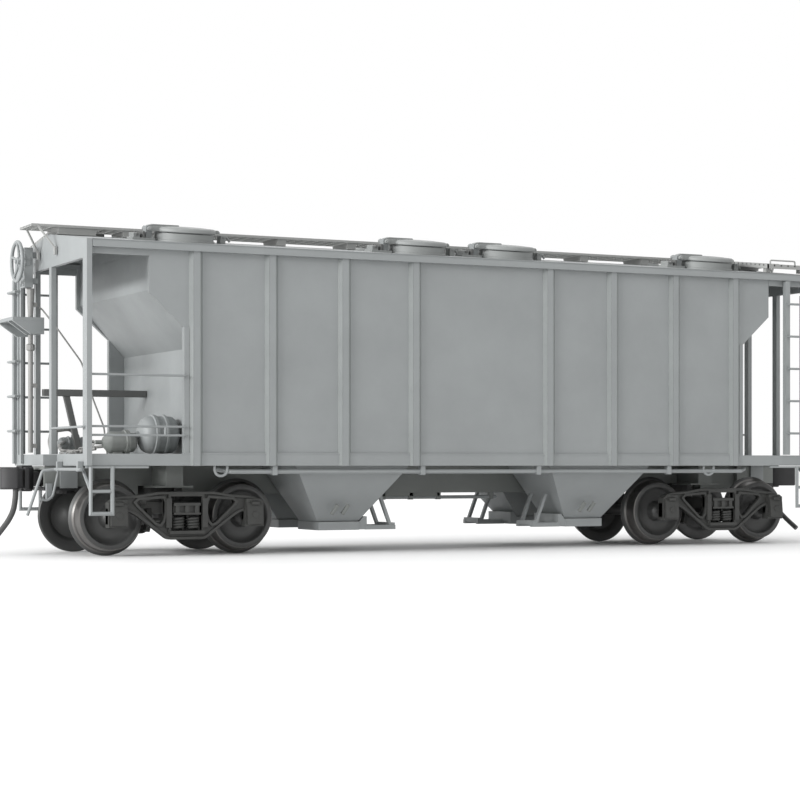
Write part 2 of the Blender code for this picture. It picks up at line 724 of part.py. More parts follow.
def brake_housing(finish):
    """The hand brake's gear housing, on two brackets on the left end."""
    y = (BRAKE_Y - 1.0, BRAKE_Y + 1.0)
    shapes = [box(HOUSING_X, y, (sill(HOUSING_H[0]), sill(HOUSING_H[1])))]
    face = -END_X - GAP
    for low in (HOUSING_H[0] + 0.6, HOUSING_H[1] - 1.4):
        shapes.append(box((HOUSING_X[1] - 0.2, face), (y[0] + 0.3, y[1] - 0.3), (sill(low), sill(low + 0.8))))
    centre = (0, BRAKE_Y, sill(BRAKE_WHEEL_H))
    shapes.append(cylinder("x", centre, 1.2, -64.1, -63.0, 14))
    hole = cylinder("x", centre, 0.55, -66.0, -BRAKE_SHAFT_END_X + 0.1, 12)
    return part("brake_housing", finish, shapes, [hole])


def brake_rod(finish):
    """The hand brake's chain guide and its rod, on brackets down the left end."""
    centre = (ROD_X, BRAKE_Y, 0)
    top = HOUSING_H[0] - GAP
    profile = [(0, sill(1.9)), (0.38, sill(1.9)), (0.38, sill(16.7)), (0.65, sill(16.9)), (0.65, sill(17.6))]
    profile += [(0.38, sill(17.8)), (0.38, sill(21.6)), (0.62, sill(top)), (0, sill(top))]
    shapes = [turned("z", centre, profile, 10)]
    span = (ROD_X, -END_X - GAP)
    for h in (2.6, 11.4, 23.2):
        shapes.append(box(span, (BRAKE_Y - 0.3, BRAKE_Y + 0.3), (sill(h), sill(h + 0.6))))
    return part("brake_rod", finish, shapes)


def brake_step(finish):
    """The step for whoever turns the hand brake, on three gussets, notched for the rod."""
    face = -END_X - GAP
    top = sill(STEP_TOP)
    shapes = [box((STEP_END_X, face), (2.1, 9.9), (top - 0.5, top))]
    low = top - 2.4
    outline = [(face, top - 0.1), (STEP_END_X + 0.05, top - 0.1), (STEP_END_X + 0.05, top - 0.6)]
    outline += [(face - 2.0, low), (face, low)]
    for y in (2.12, 4.4, 9.38):
        shapes.append(prism("y", outline, y, y + 0.5))
    room = box((ROD_X - 0.7, -END_X), (BRAKE_Y - 0.7, BRAKE_Y + 0.7), (top - 1, top + 1))
    return part("brake_step", finish, shapes, [room])


def hand_wheel(finish):
    """The brake wheel: a rim, five spokes and a hub on the shaft."""
    centre = (0, BRAKE_Y, sill(BRAKE_WHEEL_H))
    middle = BRAKE_WHEEL_RADIUS - BRAKE_RIM
    rim = []
    for i in range(6):
        turn = 2 * math.pi * i / 6
        rim.append((middle + BRAKE_RIM * math.cos(turn), BRAKE_RIM * math.sin(turn) - BRAKE_WHEEL_X))
    spokes = []
    for i in range(5):
        turn = 2 * math.pi * i / 5 + math.pi / 2
        y = BRAKE_Y + middle * math.cos(turn)
        z = sill(BRAKE_WHEEL_H) + middle * math.sin(turn)
        start = (0.3 - BRAKE_WHEEL_X, BRAKE_Y, sill(BRAKE_WHEEL_H))
        spokes.append(bar(start, (-BRAKE_WHEEL_X, y, z), 0.42, 0.3, (1, 0, 0)))
    hub = cylinder("x", centre, 0.62, -BRAKE_WHEEL_X - 0.35, -BRAKE_WHEEL_X + 0.54, 12)
    shaft = cylinder("x", centre, 0.45, -BRAKE_WHEEL_X, -BRAKE_SHAFT_END_X, 12)
    shapes = [hub, shaft, *spokes, turned("x", centre, rim, 20, ring=True)]
    origin = (-BRAKE_WHEEL_X, BRAKE_Y, sill(BRAKE_WHEEL_H))
    return part("brake_wheel", finish, shapes, origin=origin, smooth=True)


def outlet_gate(name, end, side, finish):
    """An outlet: its frame under the chute, and the rails that run towards the middle."""
    x = end * BAY_X
    high = sill(CHUTE_BOTTOM - GAP)
    low = sill(OUTLET_BOTTOM)
    inner_y = CHUTE_BOTTOM_INNER_Y - 0.5
    outer_y = CHUTE_BOTTOM_OUTER_Y + 0.4
    y = sorted((side * inner_y, side * outer_y))
    shapes = [box((x - GATE_HALF_X, x + GATE_HALF_X), y, (low, high))]
    pinion = [(PINION_NEAR_X, low + 0.05), (PINION_NEAR_X, high - 0.1), (PINION_NEAR_X + 0.65, high)]
    pinion += [(PINION_FAR_X - 0.6, high + 0.75), (PINION_FAR_X, high + 0.75), (PINION_FAR_X, low + 0.05)]
    outline = [(end * (BAY_X - distance), z) for distance, z in pinion]
    shapes.append(prism("y", outline, y[0] + 0.1, y[1] - 0.1))
    rail_low = low + 0.02
    rail_high = rail_low + RAIL_THICKNESS
    rail = sorted((end * GATE_RAIL_END_X, end * (BAY_X - PINION_FAR_X + 0.2)))
    for place in (INNER_RAIL_Y, outer_y - 0.35):
        span = sorted((side * (place - 0.35), side * (place + 0.35)))
        shapes.append(box(rail, span, (rail_low, rail_high)))
        foot = (end * (GATE_RAIL_END_X + 0.7), side * place, rail_low + 0.4)
        slope_top = (end * (GATE_RAIL_END_X + 2.5), side * place, sill(-4.4))
        shapes.append(bar(foot, slope_top, 0.6, 0.45, (0, 1, 0)))
    cross = sorted((end * (GATE_RAIL_END_X + 0.05), end * (GATE_RAIL_END_X + 0.85)))
    span = sorted((side * (INNER_RAIL_Y - 0.3), side * (outer_y - 0.1)))
    shapes.append(box(cross, span, (rail_low + 0.3, rail_high + 0.35)))
    return part(name, finish, shapes)


def ballast(finish):
    """The weight plate that lies on the hopper's floor between the bays."""
    low = sill(FLOOR_LOW + WALL + GAP)
    return part("ballast_weight", finish, [box((-10.0, 10.0), (-12.0, 12.0), (low, low + 3.0))])


def side_frame(name, end, side, finish):
    """A cast side frame with its three windows and two journal boxes."""
    centre_x = end * TRUCK_CENTRE_X
    half = [(0, 8.6), (4.2, 8.45), (6.6, 8.05), (9.8, 7.8), (11.0, 7.45), (11.55, 6.6), (11.55, 3.45)]
    half += [(8.7, 3.45), (8.7, 5.9), (7.4, 5.1), (5.0, 3.35), (2.8, 1.7), (0, 1.7)]
    outline = on_truck(centre_x, 1, half) + on_truck(centre_x, -1, [p for p in half[::-1] if p[0]])
    y = sorted(side * edge for edge in FRAME_Y)
    shapes = [prism("y", outline, y[0], y[1])]
    window = [(-2.29, 2.96), (2.29, 2.96), (2.29, 7.77), (-2.29, 7.77)]
    cuts = [prism("y", on_truck(centre_x, 1, window), y[0] - 1, y[1] + 1)]
    for way in (-1, 1):
        window = [(3.2, 7.0), (3.5, 7.5), (7.0, 7.25), (7.35, 6.95), (7.1, 6.6)]
        window += [(4.4, 4.1), (3.9, 3.95), (3.5, 4.4), (3.2, 5.4)]
        cuts.append(prism("y", on_truck(centre_x, way, window), y[0] - 1, y[1] + 1))
        face = sorted(side * edge for edge in JOURNAL_FACE_Y)
        journal = [(8.8, 3.5), (11.5, 3.5), (11.5, 6.9), (8.8, 6.9)]
        shapes.append(prism("y", on_truck(centre_x, way, journal), face[0], face[1]))
        axle_x = centre_x + way * WHEELBASE / 2
        bore = sorted((side * (FRAME_Y[0] - 0.5), side * 13.1))
        cuts.append(cylinder("y", (axle_x, 0, AXLE_Z), JOURNAL_RADIUS + 0.08, bore[0], bore[1], 14))
    return part(name, finish, shapes, cuts)


def on_truck(centre_x, way, outline):
    """Points given as distance along a truck and height above the railhead, as (x, z)."""
    return [(centre_x + way * x, FLANGE_DEPTH + z) for x, z in outline]


def truck_bolster(name, end, finish):
    """The beam across a truck, whose ends sit in the side frames' windows."""
    x = end * TRUCK_CENTRE_X
    low = FLANGE_DEPTH + TRUCK_BOLSTER_LOW
    high = FLANGE_DEPTH + TRUCK_BOLSTER_HIGH
    shapes = [box((x - 2.0, x + 2.0), (-13.6, 13.6), (low, high))]
    shapes.append(cylinder("z", (x, 0, 0), 3.0, high - 0.4, sill(-BOLSTER_DEPTH) - 0.1, 18))
    hole = cylinder("z", (x, 0, 0), 1.1, 0, 20, 14)
    return part(name, finish, shapes, [hole], origin=(x, 0, AXLE_Z))


def truck_screw(name, end, finish):
    """The screw that a truck swivels on."""
    x = end * TRUCK_CENTRE_X
    low = FLANGE_DEPTH + TRUCK_BOLSTER_LOW - GAP
    shapes = [cylinder("z", (x, 0, 0), 1.9, low - 0.7, low, 16)]
    shapes.append(cylinder("z", (x, 0, 0), 0.94, low - 0.2, sill(-0.5), 12))
    return part(name, finish, shapes)


def wheelset(name, x, finish):
    """An axle with its two wheels."""
    back = BACK_TO_BACK / 2
    face = back + WHEEL_WIDTH
    half = [
        (0, AXLE_TIP_Y),
        (JOURNAL_RADIUS, AXLE_TIP_Y - 0.2),
        (JOURNAL_RADIUS, face + 0.3),
        (1.9, face - 0.2),
        (3.7, face - 0.6),
        (4.1, face),
        (TREAD_RADIUS - 0.1, face),
        (TREAD_RADIUS, back + 0.8),
        (TREAD_RADIUS + FLANGE_DEPTH, back + 0.3),
        (TREAD_RADIUS + FLANGE_DEPTH - 0.2, back),
        (AXLE_RADIUS, back),
    ]
    profile = half + [(r, -along) for r, along in half[::-1]]
    made = turned("y", (x, 0, AXLE_Z), profile, 20)
    return part(name, finish, [made], origin=(x, 0, AXLE_Z), smooth=True)


def on_coupler(end, outline):
    """Plan positions of points given as outboard of a coupler's pivot, and to its side."""
    return [(end * (COUPLER_PIVOT_X + u), end * v) for u, v in outline]


def coupler(name, end, finish):
    """A knuckle coupler's shank and head, swinging on the post in its box."""
    shank = [(0.5, -1.1), (6.2, -1.1), (6.2, 1.1), (0.5, 1.1)]
    head = [(5.0, -1.0), (5.9, -2.0), (7.6, -2.5), (9.3, -2.9), (9.7, -2.5), (8.8, -1.4)]
    head += [(7.8, -0.9), (7.4, 0.2), (6.7, 0.7), (6.7, 2.3), (6.0, 2.3), (5.0, 1.0)]
    centre = (end * COUPLER_PIVOT_X, 0, 0)
    low = COUPLER_Z - 0.9
    high = COUPLER_Z + 0.9
    shapes = [cylinder("z", centre, 1.75, low + 0.05, high - 0.05, 16)]
    shapes.append(prism("z", on_coupler(end, shank), low, high))
    shapes.append(prism("z", on_coupler(end, head), COUPLER_Z - 1.6, COUPLER_Z + 1.6))
    cuts = [cylinder("z", centre, PIVOT_RADIUS + 0.08, low - 1, high + 1, 14)]
    return part(name, finish, shapes, cuts, origin=(end * COUPLER_PIVOT_X, 0, COUPLER_Z))


def knuckle(name, end, finish):
    """The hinged jaw of a coupler, with the curved pin that hangs from it."""
    jaw = [(7.0, 1.1), (7.0, 2.5), (7.9, 2.75), (9.2, 2.3), (9.9, 1.5), (9.9, 0.1), (9.3, -0.3)]
    jaw += [(8.8, -0.1), (8.9, 0.8), (8.3, 1.3), (7.7, 1.0)]
    shapes = [prism("z", on_coupler(end, jaw), COUPLER_Z - 1.45, COUPLER_Z + 1.45)]
    route = [(7.9, 1.9), (7.9, 1.9), (8.1, 1.6), (8.6, 0.7), (9.3, -0.6), (10.0, -2.4)]
    drops = (-1.0, 2.5, 4.5, 6.0, 7.4, 8.9)
    path = [(x, y, COUPLER_Z - drop) for (x, y), drop in zip(on_coupler(end, route), drops)]
    shapes.append(tube(path, PIN_RADIUS, 8))
    pivot = on_coupler(end, [(7.9, 1.9)])[0]
    return part(name, finish, shapes, origin=(*pivot, COUPLER_Z))


def build():
    """Every sub-part of the car."""
    for old in list(bpy.data.objects):
        bpy.data.objects.remove(old)
    grey = paint("body_grey", (0.33, 0.36, 0.35), 0.55)
    board = paint("board_grey", (0.36, 0.37, 0.35), 0.6)
    dark = paint("brake_dark", (0.05, 0.05, 0.05), 0.5)
    cast = paint("truck_cast", (0.045, 0.042, 0.04), 0.6)
    steel = paint("wheel_steel", (0.09, 0.085, 0.08), 0.45, 0.6)
    black = paint("coupler_black", (0.02, 0.02, 0.02), 0.45, 0.3)
    weight = paint("weight_steel", (0.3, 0.3, 0.3), 0.5, 1.0)

    side_panel("side_panel_front", -1, grey)
    side_panel("side_panel_rear", 1, grey)
    hopper_core(grey)
    roof(grey)
    for number, (x, y) in enumerate(hatch_places(), 1):
        hatch_lid(f"hatch_lid_{number}", x, y, grey)
    running_board(board)
    lateral_board("lateral_board_right", 1, board)
    lateral_board("lateral_board_left", -1, board)
    underframe(grey)
    ballast(weight)
    train_line(grey)
    side_ladder("side_ladder_front", -1, grey)
    side_ladder("side_ladder_rear", 1, grey)
    brake_cylinder(grey)
    air_reservoir(grey)
    control_valve(grey)
    brake_lever(grey)
    brake_housing(grey)
    brake_rod(dark)
    brake_step(grey)
    hand_wheel(dark)
    for end, side_name in ((-1, "left"), (1, "right")):
        end_frame(f"end_frame_{side_name}", end, grey)
        end_ladder(f"end_ladder_{side_name}", end, grey)
        coupler_box_lid(f"coupler_box_lid_{side_name}", end, black)
        coupler(f"coupler_{side_name}", end, black)
        knuckle(f"knuckle_{side_name}", end, black)
        truck_bolster(f"truck_bolster_{side_name}", end, cast)
        truck_screw(f"truck_screw_{side_name}", end, steel)
        for way, row in ((-1, "front"), (1, "rear")):
            stirrup_step(f"stirrup_step_{side_name}_{row}", end, way, grey)
            outlet_gate(f"outlet_gate_{side_name}_{row}", end, way, grey)
            side_frame(f"side_frame_{side_name}_{row}", end, way, cast)
            axle = end * TRUCK_CENTRE_X + way * WHEELBASE / 2
            number = 2 * (end > 0) + (way > 0) + 1
            wheelset(f"wheelset_{number}", axle, steel)


build()
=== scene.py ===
"""The looks of an HO-scale two-bay covered hopper car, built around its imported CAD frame.

The frame is in metres. Everything below works in millimetres until a piece is made, and h is a
height above the bottom of the side sills. Left and right are the -X and +X ends, front and rear
the -Y and +Y sides. A shape is (vertices, faces, the material index of each face).
"""
import math

import bmesh
import bpy
from mathutils import Matrix, Vector


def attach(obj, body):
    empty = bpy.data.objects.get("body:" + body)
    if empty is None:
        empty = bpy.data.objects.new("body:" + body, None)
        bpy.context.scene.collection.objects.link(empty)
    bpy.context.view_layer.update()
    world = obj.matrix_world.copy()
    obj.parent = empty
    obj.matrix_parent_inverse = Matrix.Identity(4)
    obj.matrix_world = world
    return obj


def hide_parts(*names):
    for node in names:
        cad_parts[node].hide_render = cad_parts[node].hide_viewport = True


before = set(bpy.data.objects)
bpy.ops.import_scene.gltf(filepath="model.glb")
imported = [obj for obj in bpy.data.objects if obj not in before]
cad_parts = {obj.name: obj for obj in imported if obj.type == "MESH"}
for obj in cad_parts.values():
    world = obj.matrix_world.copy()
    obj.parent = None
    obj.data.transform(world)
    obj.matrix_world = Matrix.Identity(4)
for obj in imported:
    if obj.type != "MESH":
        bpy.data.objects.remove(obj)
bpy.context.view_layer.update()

MM = 0.001
SILL = 12.74  # z of the bottom of the side sills
RAIL = 0.64  # z of the railheads; the wheel flanges reach down to 0
AXLE = 5.45  # z of the axles
TRUCK_X = 45.8
WHEELBASE = 19.83
RIB_PITCH = 11.42
SHEET_Y = 16.9  # the outer face of the side sheets
END_X = 61.7  # the outer face of the end frames
RIDGE = 33.25  # h of the roof along its middle
ROOF_FALL = 2.25 / 17.2  # how much the roof falls for each millimetre out from the middle
ROOF_SLOPE = math.atan(ROOF_FALL)
HATCH_X = (-44.9, -7.65, 7.65, 44.9)
HATCH_Y = 10.0
HATCH_FOOT = 31.94  # h of the roof at a hatch's centre
LID_LOW = 33.2  # h of a lid's underside
HINGE_DX = -5.5  # from a hatch's centre to its hinge
WALK_LOW = 33.95  # h of the running board's underside
DECK = 0.96  # h of the end platforms' top
AIR_GEAR_Y = -8.0  # the reservoir and the brake cylinder stand in one line
HAND_BRAKE_Y = 5.9
HAND_BRAKE_H = 29.7
HOUSING_X = -63.85  # the outer face of the hand brake's housing
COUPLER_Z = 10.94
PIVOT_X = 59.2  # where a coupler swings
GAP = 0.06  # what neighbouring pieces keep between them
ENDS = {"left": -1, "right": 1}
SIDES = {"front": -1, "rear": 1}

# Noise scales in a material, per metre: broad mottling, gloss, patches of dust and fine grain.
MOTTLE = 140.0
GLOSS = 260.0
DUST = 420.0
GRAIN = 3600.0

# Edges that turn by more than this are sharp.
SHARP_ANGLE = math.radians(32)


# ---------------------------------------------------------------- materials


def grained(name, colour, roughness, spread=0.05, bump=0.02, metallic=0.0, dust=None, scale=1.0):
    """A painted or moulded surface: slightly uneven colour and gloss, and a fine grain.

    The colour varies by the share spread, and the grain's depth is bump in millimetres. Dust is
    the colour of the patches that lie on it, and scale shrinks or stretches all the patterns.
    """
    made = bpy.data.materials.new(name)
    made.use_nodes = True
    nodes = made.node_tree.nodes
    links = made.node_tree.links
    shader = nodes["Principled BSDF"]
    shader.inputs["Metallic"].default_value = metallic
    place = nodes.new("ShaderNodeTexCoord")

    def noise(size, detail, rough):
        """A noise pattern fixed to the object."""
        texture = nodes.new("ShaderNodeTexNoise")
        texture.inputs["Scale"].default_value = size * scale
        texture.inputs["Detail"].default_value = detail
        texture.inputs["Roughness"].default_value = rough
        links.new(place.outputs["Object"], texture.inputs["Vector"])
        return texture.outputs["Fac"]

    def ramp(source, low, high, start=0.3, stop=0.7):
        """A pattern turned into a colour between two."""
        made_ramp = nodes.new("ShaderNodeValToRGB")
        made_ramp.color_ramp.elements[0].position = start
        made_ramp.color_ramp.elements[1].position = stop
        made_ramp.color_ramp.elements[0].color = (*low, 1.0)
        made_ramp.color_ramp.elements[1].color = (*high, 1.0)
        links.new(source, made_ramp.inputs["Fac"])
        return made_ramp.outputs["Color"]

    darker = [c * (1.0 - spread) for c in colour]
    lighter = [c * (1.0 + spread) for c in colour]
    tint = ramp(noise(MOTTLE, 5.0, 0.6), darker, lighter)
    if dust:
        mix = nodes.new("ShaderNodeMix")
        mix.data_type = "RGBA"
        patches = ramp(noise(DUST, 6.0, 0.7), (0.0, 0.0, 0.0), (0.55, 0.55, 0.55), 0.45, 0.75)
        links.new(patches, mix.inputs["Factor"])
        links.new(tint, mix.inputs["A"])
        mix.inputs["B"].default_value = (*dust, 1.0)
        tint = mix.outputs["Result"]
    links.new(tint, shader.inputs["Base Color"])
    low = [roughness - 0.06] * 3
    high = [roughness + 0.06] * 3
    links.new(ramp(noise(GLOSS, 4.0, 0.6), low, high), shader.inputs["Roughness"])
    rise = nodes.new("ShaderNodeBump")
    rise.inputs["Strength"].default_value = 0.35
    rise.inputs["Distance"].default_value = bump * MM
    links.new(noise(GRAIN, 3.0, 0.6), rise.inputs["Height"])
    links.new(rise.outputs["Normal"], shader.inputs["Normal"])
    return made


BODY = grained("body_paint", (0.24, 0.254, 0.256), 0.5)
LID = grained("lid_paint", (0.225, 0.235, 0.232), 0.5)
# A darker grey for strips on the ribs' flanks: painted shade beside the ribs.
FLANK_SHADE = grained("painted_flank_shade", (0.185, 0.2, 0.198), 0.55)
STRUT = grained("strut_paint", (0.1, 0.102, 0.1), 0.5, 0.08)
BOARD = grained("board_plastic", (0.29, 0.295, 0.288), 0.6)
# Darker than the body's grey: painted shade for the underframe and the gear under the car.
SHADE = grained("underframe_painted_shade", (0.17, 0.18, 0.172), 0.55, 0.08)
ROD = grained("brake_plastic", (0.25, 0.25, 0.243), 0.5, 0.08)
CAST = grained("truck_plastic", (0.033, 0.034, 0.032), 0.6, 0.12, dust=(0.055, 0.055, 0.052))
WHEEL = grained("wheel_metal", (0.06, 0.061, 0.06), 0.45, 0.1, metallic=0.25)
TREAD = grained("tread_metal", (0.16, 0.155, 0.15), 0.32, 0.08, metallic=0.9)
SCREW = grained("screw_metal", (0.2, 0.2, 0.2), 0.4, 0.08, metallic=1.0)
COUPLER = grained("coupler_metal", (0.018, 0.018, 0.019), 0.5, 0.12)
WEIGHT = grained("weight_metal", (0.3, 0.3, 0.3), 0.45, 0.08, metallic=1.0)


def finish_of(node):
    """The material of a CAD node."""
    kinds = (
        (("wheelset",), WHEEL),
        (("truck_screw",), SCREW),
        (("side_frame", "truck_bolster"), CAST),
        (("coupler", "knuckle"), COUPLER),
        (("running_board", "lateral_board"), BOARD),
        (("underframe",), SHADE),
        (("brake_rod",), ROD),
        (("brake_lever",), STRUT),
        (("ballast",), WEIGHT),
    )
    for starts, material in kinds:
        if node.startswith(starts):
            return material
    return BODY


# ---------------------------------------------------------------- shapes


def loft(rings, slot=0, loop=False):
    """A solid through rings of equally many points; a loop's last ring meets its first."""
    count = len(rings[0])
    vertices = [Vector(p) for ring in rings for p in ring]
    faces = []
    for level in range(len(rings) if loop else len(rings) - 1):
        low = level * count
        high = (level + 1) % len(rings) * count
        for i in range(count):
            j = (i + 1) % count
            faces.append((low + i, low + j, high + j, high + i))
    if not loop:
        faces.append(tuple(range(count)))
        faces.append(tuple(range(len(vertices) - count, len(vertices))))
    return vertices, faces, [slot] * len(faces)


def prism(axis, outline, low, high, slot=0):
    """An outline extruded along an axis; it is (y, z), (x, z) or (x, y) for x, y or z."""
    place = {
        "x": lambda p, level: (level, p[0], p[1]),
        "y": lambda p, level: (p[0], level, p[1]),
        "z": lambda p, level: (p[0], p[1], level),
    }[axis]
    return loft([[place(p, level) for p in outline] for level in (low, high)], slot)


def box(x, y, z, slot=0):
    """A block between a pair of values along each axis, in either order."""
    outline = [(x[0], y[0]), (x[1], y[0]), (x[1], y[1]), (x[0], y[1])]
    return prism("z", outline, z[0], z[1], slot)


def turned(axis, centre, profile, segments=48, ring=False):
    """A solid turned about an axis from (radius, distance along it[, slot of the next band])."""
    x, y, z = centre
    vertices = []
    rows = []
    for radius, along, *_ in profile:
        start = len(vertices)
        for i in range(segments if radius else 1):
            turn = 2 * math.pi * i / segments
            a = radius * math.cos(turn)
            b = radius * math.sin(turn)
            spot = {"x": (along, a, b), "y": (b, along, a), "z": (a, b, along)}[axis]
            vertices.append(Vector((x + spot[0], y + spot[1], z + spot[2])))
        rows.append(list(range(start, start + segments)) if radius else [start] * segments)
    if ring:
        rows.append(rows[0])
    faces = []
    slots = []
    for level in range(len(rows) - 1):
        band = profile[level][2] if len(profile[level]) > 2 else 0
        for i in range(segments):
            j = (i + 1) % segments
            corners = (rows[level][i], rows[level][j], rows[level + 1][j], rows[level + 1][i])
            faces.append(tuple(dict.fromkeys(corners)))
            slots.append(band)
    return vertices, faces, slots


def rounded(points, radius, steps=4, closed=False):
    """The same path with its corners rounded."""
    points = [Vector(p) for p in points]
    made = []
    for i, spot in enumerate(points):
        if not closed and i in (0, len(points) - 1):
            made.append(spot)
            continue
        before = points[i - 1] - spot
        after = points[(i + 1) % len(points)] - spot
        reach = min(radius, 0.45 * before.length, 0.45 * after.length)
        start = spot + before.normalized() * reach
        stop = spot + after.normalized() * reach
        for step in range(steps + 1):
            t = step / steps
            made.append(start * (1 - t) ** 2 + spot * 2 * t * (1 - t) + stop * t ** 2)
    return made


def tube(path, radius, sides=8, corner=0.0, slot=0, loop=False):
    """A round bar along a path, its corners rounded where a corner radius is given."""
    spots = [Vector(p) for p in path]
    if corner:
        spots = rounded(spots, corner, closed=loop)
    count = len(spots)
    ways = [(spots[(i + 1) % count] - spots[i]).normalized() for i in range(count)]
    if not loop:
        ways[-1] = ways[-2]
    side = ways[0].orthogonal().normalized()
    rings = []
    for i in range(count):
        before = ways[i - 1] if loop or i else ways[0]
        normal = (before + ways[i]).normalized()
        side = (side - normal * side.dot(normal)).normalized()
        other = normal.cross(side)
        stretch = radius / max(normal.dot(ways[i]), 0.5)
        ring = []
        for k in range(sides):
            turn = 2 * math.pi * (k + 0.5) / sides
            ring.append(spots[i] + side * math.cos(turn) * stretch + other * math.sin(turn) * radius)
        rings.append(ring)
    return loft(rings, slot, loop)


def bar(start, end, width, thickness, across, slot=0):
    """A flat bar between two points; its width runs along the direction across."""
    a = Vector(start)
    b = Vector(end)
    way = (b - a).normalized()
    wide = Vector(across) - way * way.dot(Vector(across))
    wide = wide.normalized() * width / 2
    thick = way.cross(wide).normalized() * thickness / 2
    corners = (wide + thick, wide - thick, -wide - thick, thick - wide)
    return loft([[spot + c for c in corners] for spot in (a, b)], slot)


def plate(outline, holes, low, high, edge=0.1, slot=0):
    """A plate across Y with holes and rounded edges; its outlines are (x, z)."""
    curve = bpy.data.curves.new("plate", "CURVE")
    curve.dimensions = "2D"
    curve.fill_mode = "BOTH"
    curve.extrude = abs(high - low) / 2 - edge
    curve.bevel_depth = edge
    curve.bevel_resolution = 1
    curve.offset = -edge
    for points in (outline, *holes):
        line = curve.splines.new("POLY")
        line.points.add(len(points) - 1)
        line.use_cyclic_u = True
        for spot, p in zip(line.points, points):
            spot.co = (p[0], p[1], 0.0, 1.0)
    holder = bpy.data.objects.new("plate", curve)
    bpy.context.scene.collection.objects.link(holder)
    bpy.context.view_layer.update()
    ready = holder.evaluated_get(bpy.context.evaluated_depsgraph_get())
    mesh = bpy.data.meshes.new_from_object(ready)
    shape = bmesh.new()
    shape.from_mesh(mesh)
    bmesh.ops.remove_doubles(shape, verts=shape.verts[:], dist=0.001)
    middle = (low + high) / 2
    shape.verts.index_update()
    vertices = [Vector((v.co.x, middle + v.co.z, v.co.y)) for v in shape.verts]
    faces = [tuple(v.index for v in face.verts) for face in shape.faces]
    shape.free()
    bpy.data.objects.remove(holder)
    bpy.data.curves.remove(curve)
    bpy.data.meshes.remove(mesh)
    return vertices, faces, [slot] * len(faces)


def grown(outline, by):
    """A polygon's outline moved outwards by a distance, or inwards if it is negative."""
    points = [Vector(p) for p in outline]
    area = sum(a.x * b.y - b.x * a.y for a, b in zip(points, points[1:] + points[:1]))
    sign = 1 if area > 0 else -1
    made = []
    for i, spot in enumerate(points):
        before = (spot - points[i - 1]).normalized()
        after = (points[(i + 1) % len(points)] - spot).normalized()
        normals = [Vector((way.y, -way.x)) * sign for way in (before, after)]
        middle = (normals[0] + normals[1]).normalized()
        made.append(spot + middle * by / max(middle.dot(normals[0]), 0.4))
    return made


def moved(shape, matrix):
    """A shape moved by a matrix."""
    vertices, faces, slots = shape
    return [matrix @ v for v in vertices], faces, slots


def piece(name, body, materials, shapes, replaces=(), bevel=0.0):
    """One visible piece, made of shapes, that rides on a CAD body; its bevel is in millimetres."""
    mesh = bpy.data.meshes.new(name)
    shape = bmesh.new()
    for vertices, faces, slots in shapes:
        made = [shape.verts.new(v * MM) for v in vertices]
        for face, index in zip(faces, slots):
            new = shape.faces.new([made[i] for i in face])
            new.material_index = index
            new.smooth = True
    bmesh.ops.recalc_face_normals(shape, faces=shape.faces[:])
    shape.to_mesh(mesh)
    shape.free()
    mesh.set_sharp_from_angle(angle=SHARP_ANGLE)
    for material in materials if isinstance(materials, tuple) else (materials,):
        mesh.materials.append(material)
    made = bpy.data.objects.new(name, mesh)
    bpy.context.scene.collection.objects.link(made)
    if bevel:
        edge = made.modifiers.new("edge", "BEVEL")
        edge.width = bevel * MM
        edge.segments = 2
        edge.limit_method = "ANGLE"
        edge.angle_limit = SHARP_ANGLE
        edge.harden_normals = True
    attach(made, body)
    if replaces:
        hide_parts(*replaces)
    return made


def sill(h):
    """The z of a height above the bottom of the side sills."""
    return SILL + h


def soften(node, width):
    """Round the edges of a CAD node with modifiers."""
    weld = node.modifiers.new("weld", "WELD")
    weld.merge_threshold = 0.000001
    flat = node.modifiers.new("flat", "DECIMATE")
    flat.decimate_type = "DISSOLVE"
    flat.angle_limit = math.radians(0.5)
    edge = node.modifiers.new("edge", "BEVEL")
    edge.width = width * MM
    edge.segments = 2
    edge.limit_method = "ANGLE"
    edge.angle_limit = math.radians(30)


# How much the edges of the carried-over CAD nodes are rounded, by the start of a node's name.
SOFT_EDGES = {
    "side_panel": 0.08,
    "end_frame": 0.08,
    "hopper_core": 0.08,
    "underframe": 0.08,
    "outlet_gate": 0.07,
    "brake_housing": 0.15,
    "brake_step": 0.06,
    "brake_lever": 0.08,
    "coupler_box_lid": 0.12,
    "truck_bolster": 0.12,
    "train_line": 0.06,
}
for node_name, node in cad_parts.items():
    node.data.materials.clear()
    node.data.materials.append(finish_of(node_name))
    for start, width in SOFT_EDGES.items():
        if node_name.startswith(start):
            soften(node, width)


# ---------------------------------------------------------------- trucks


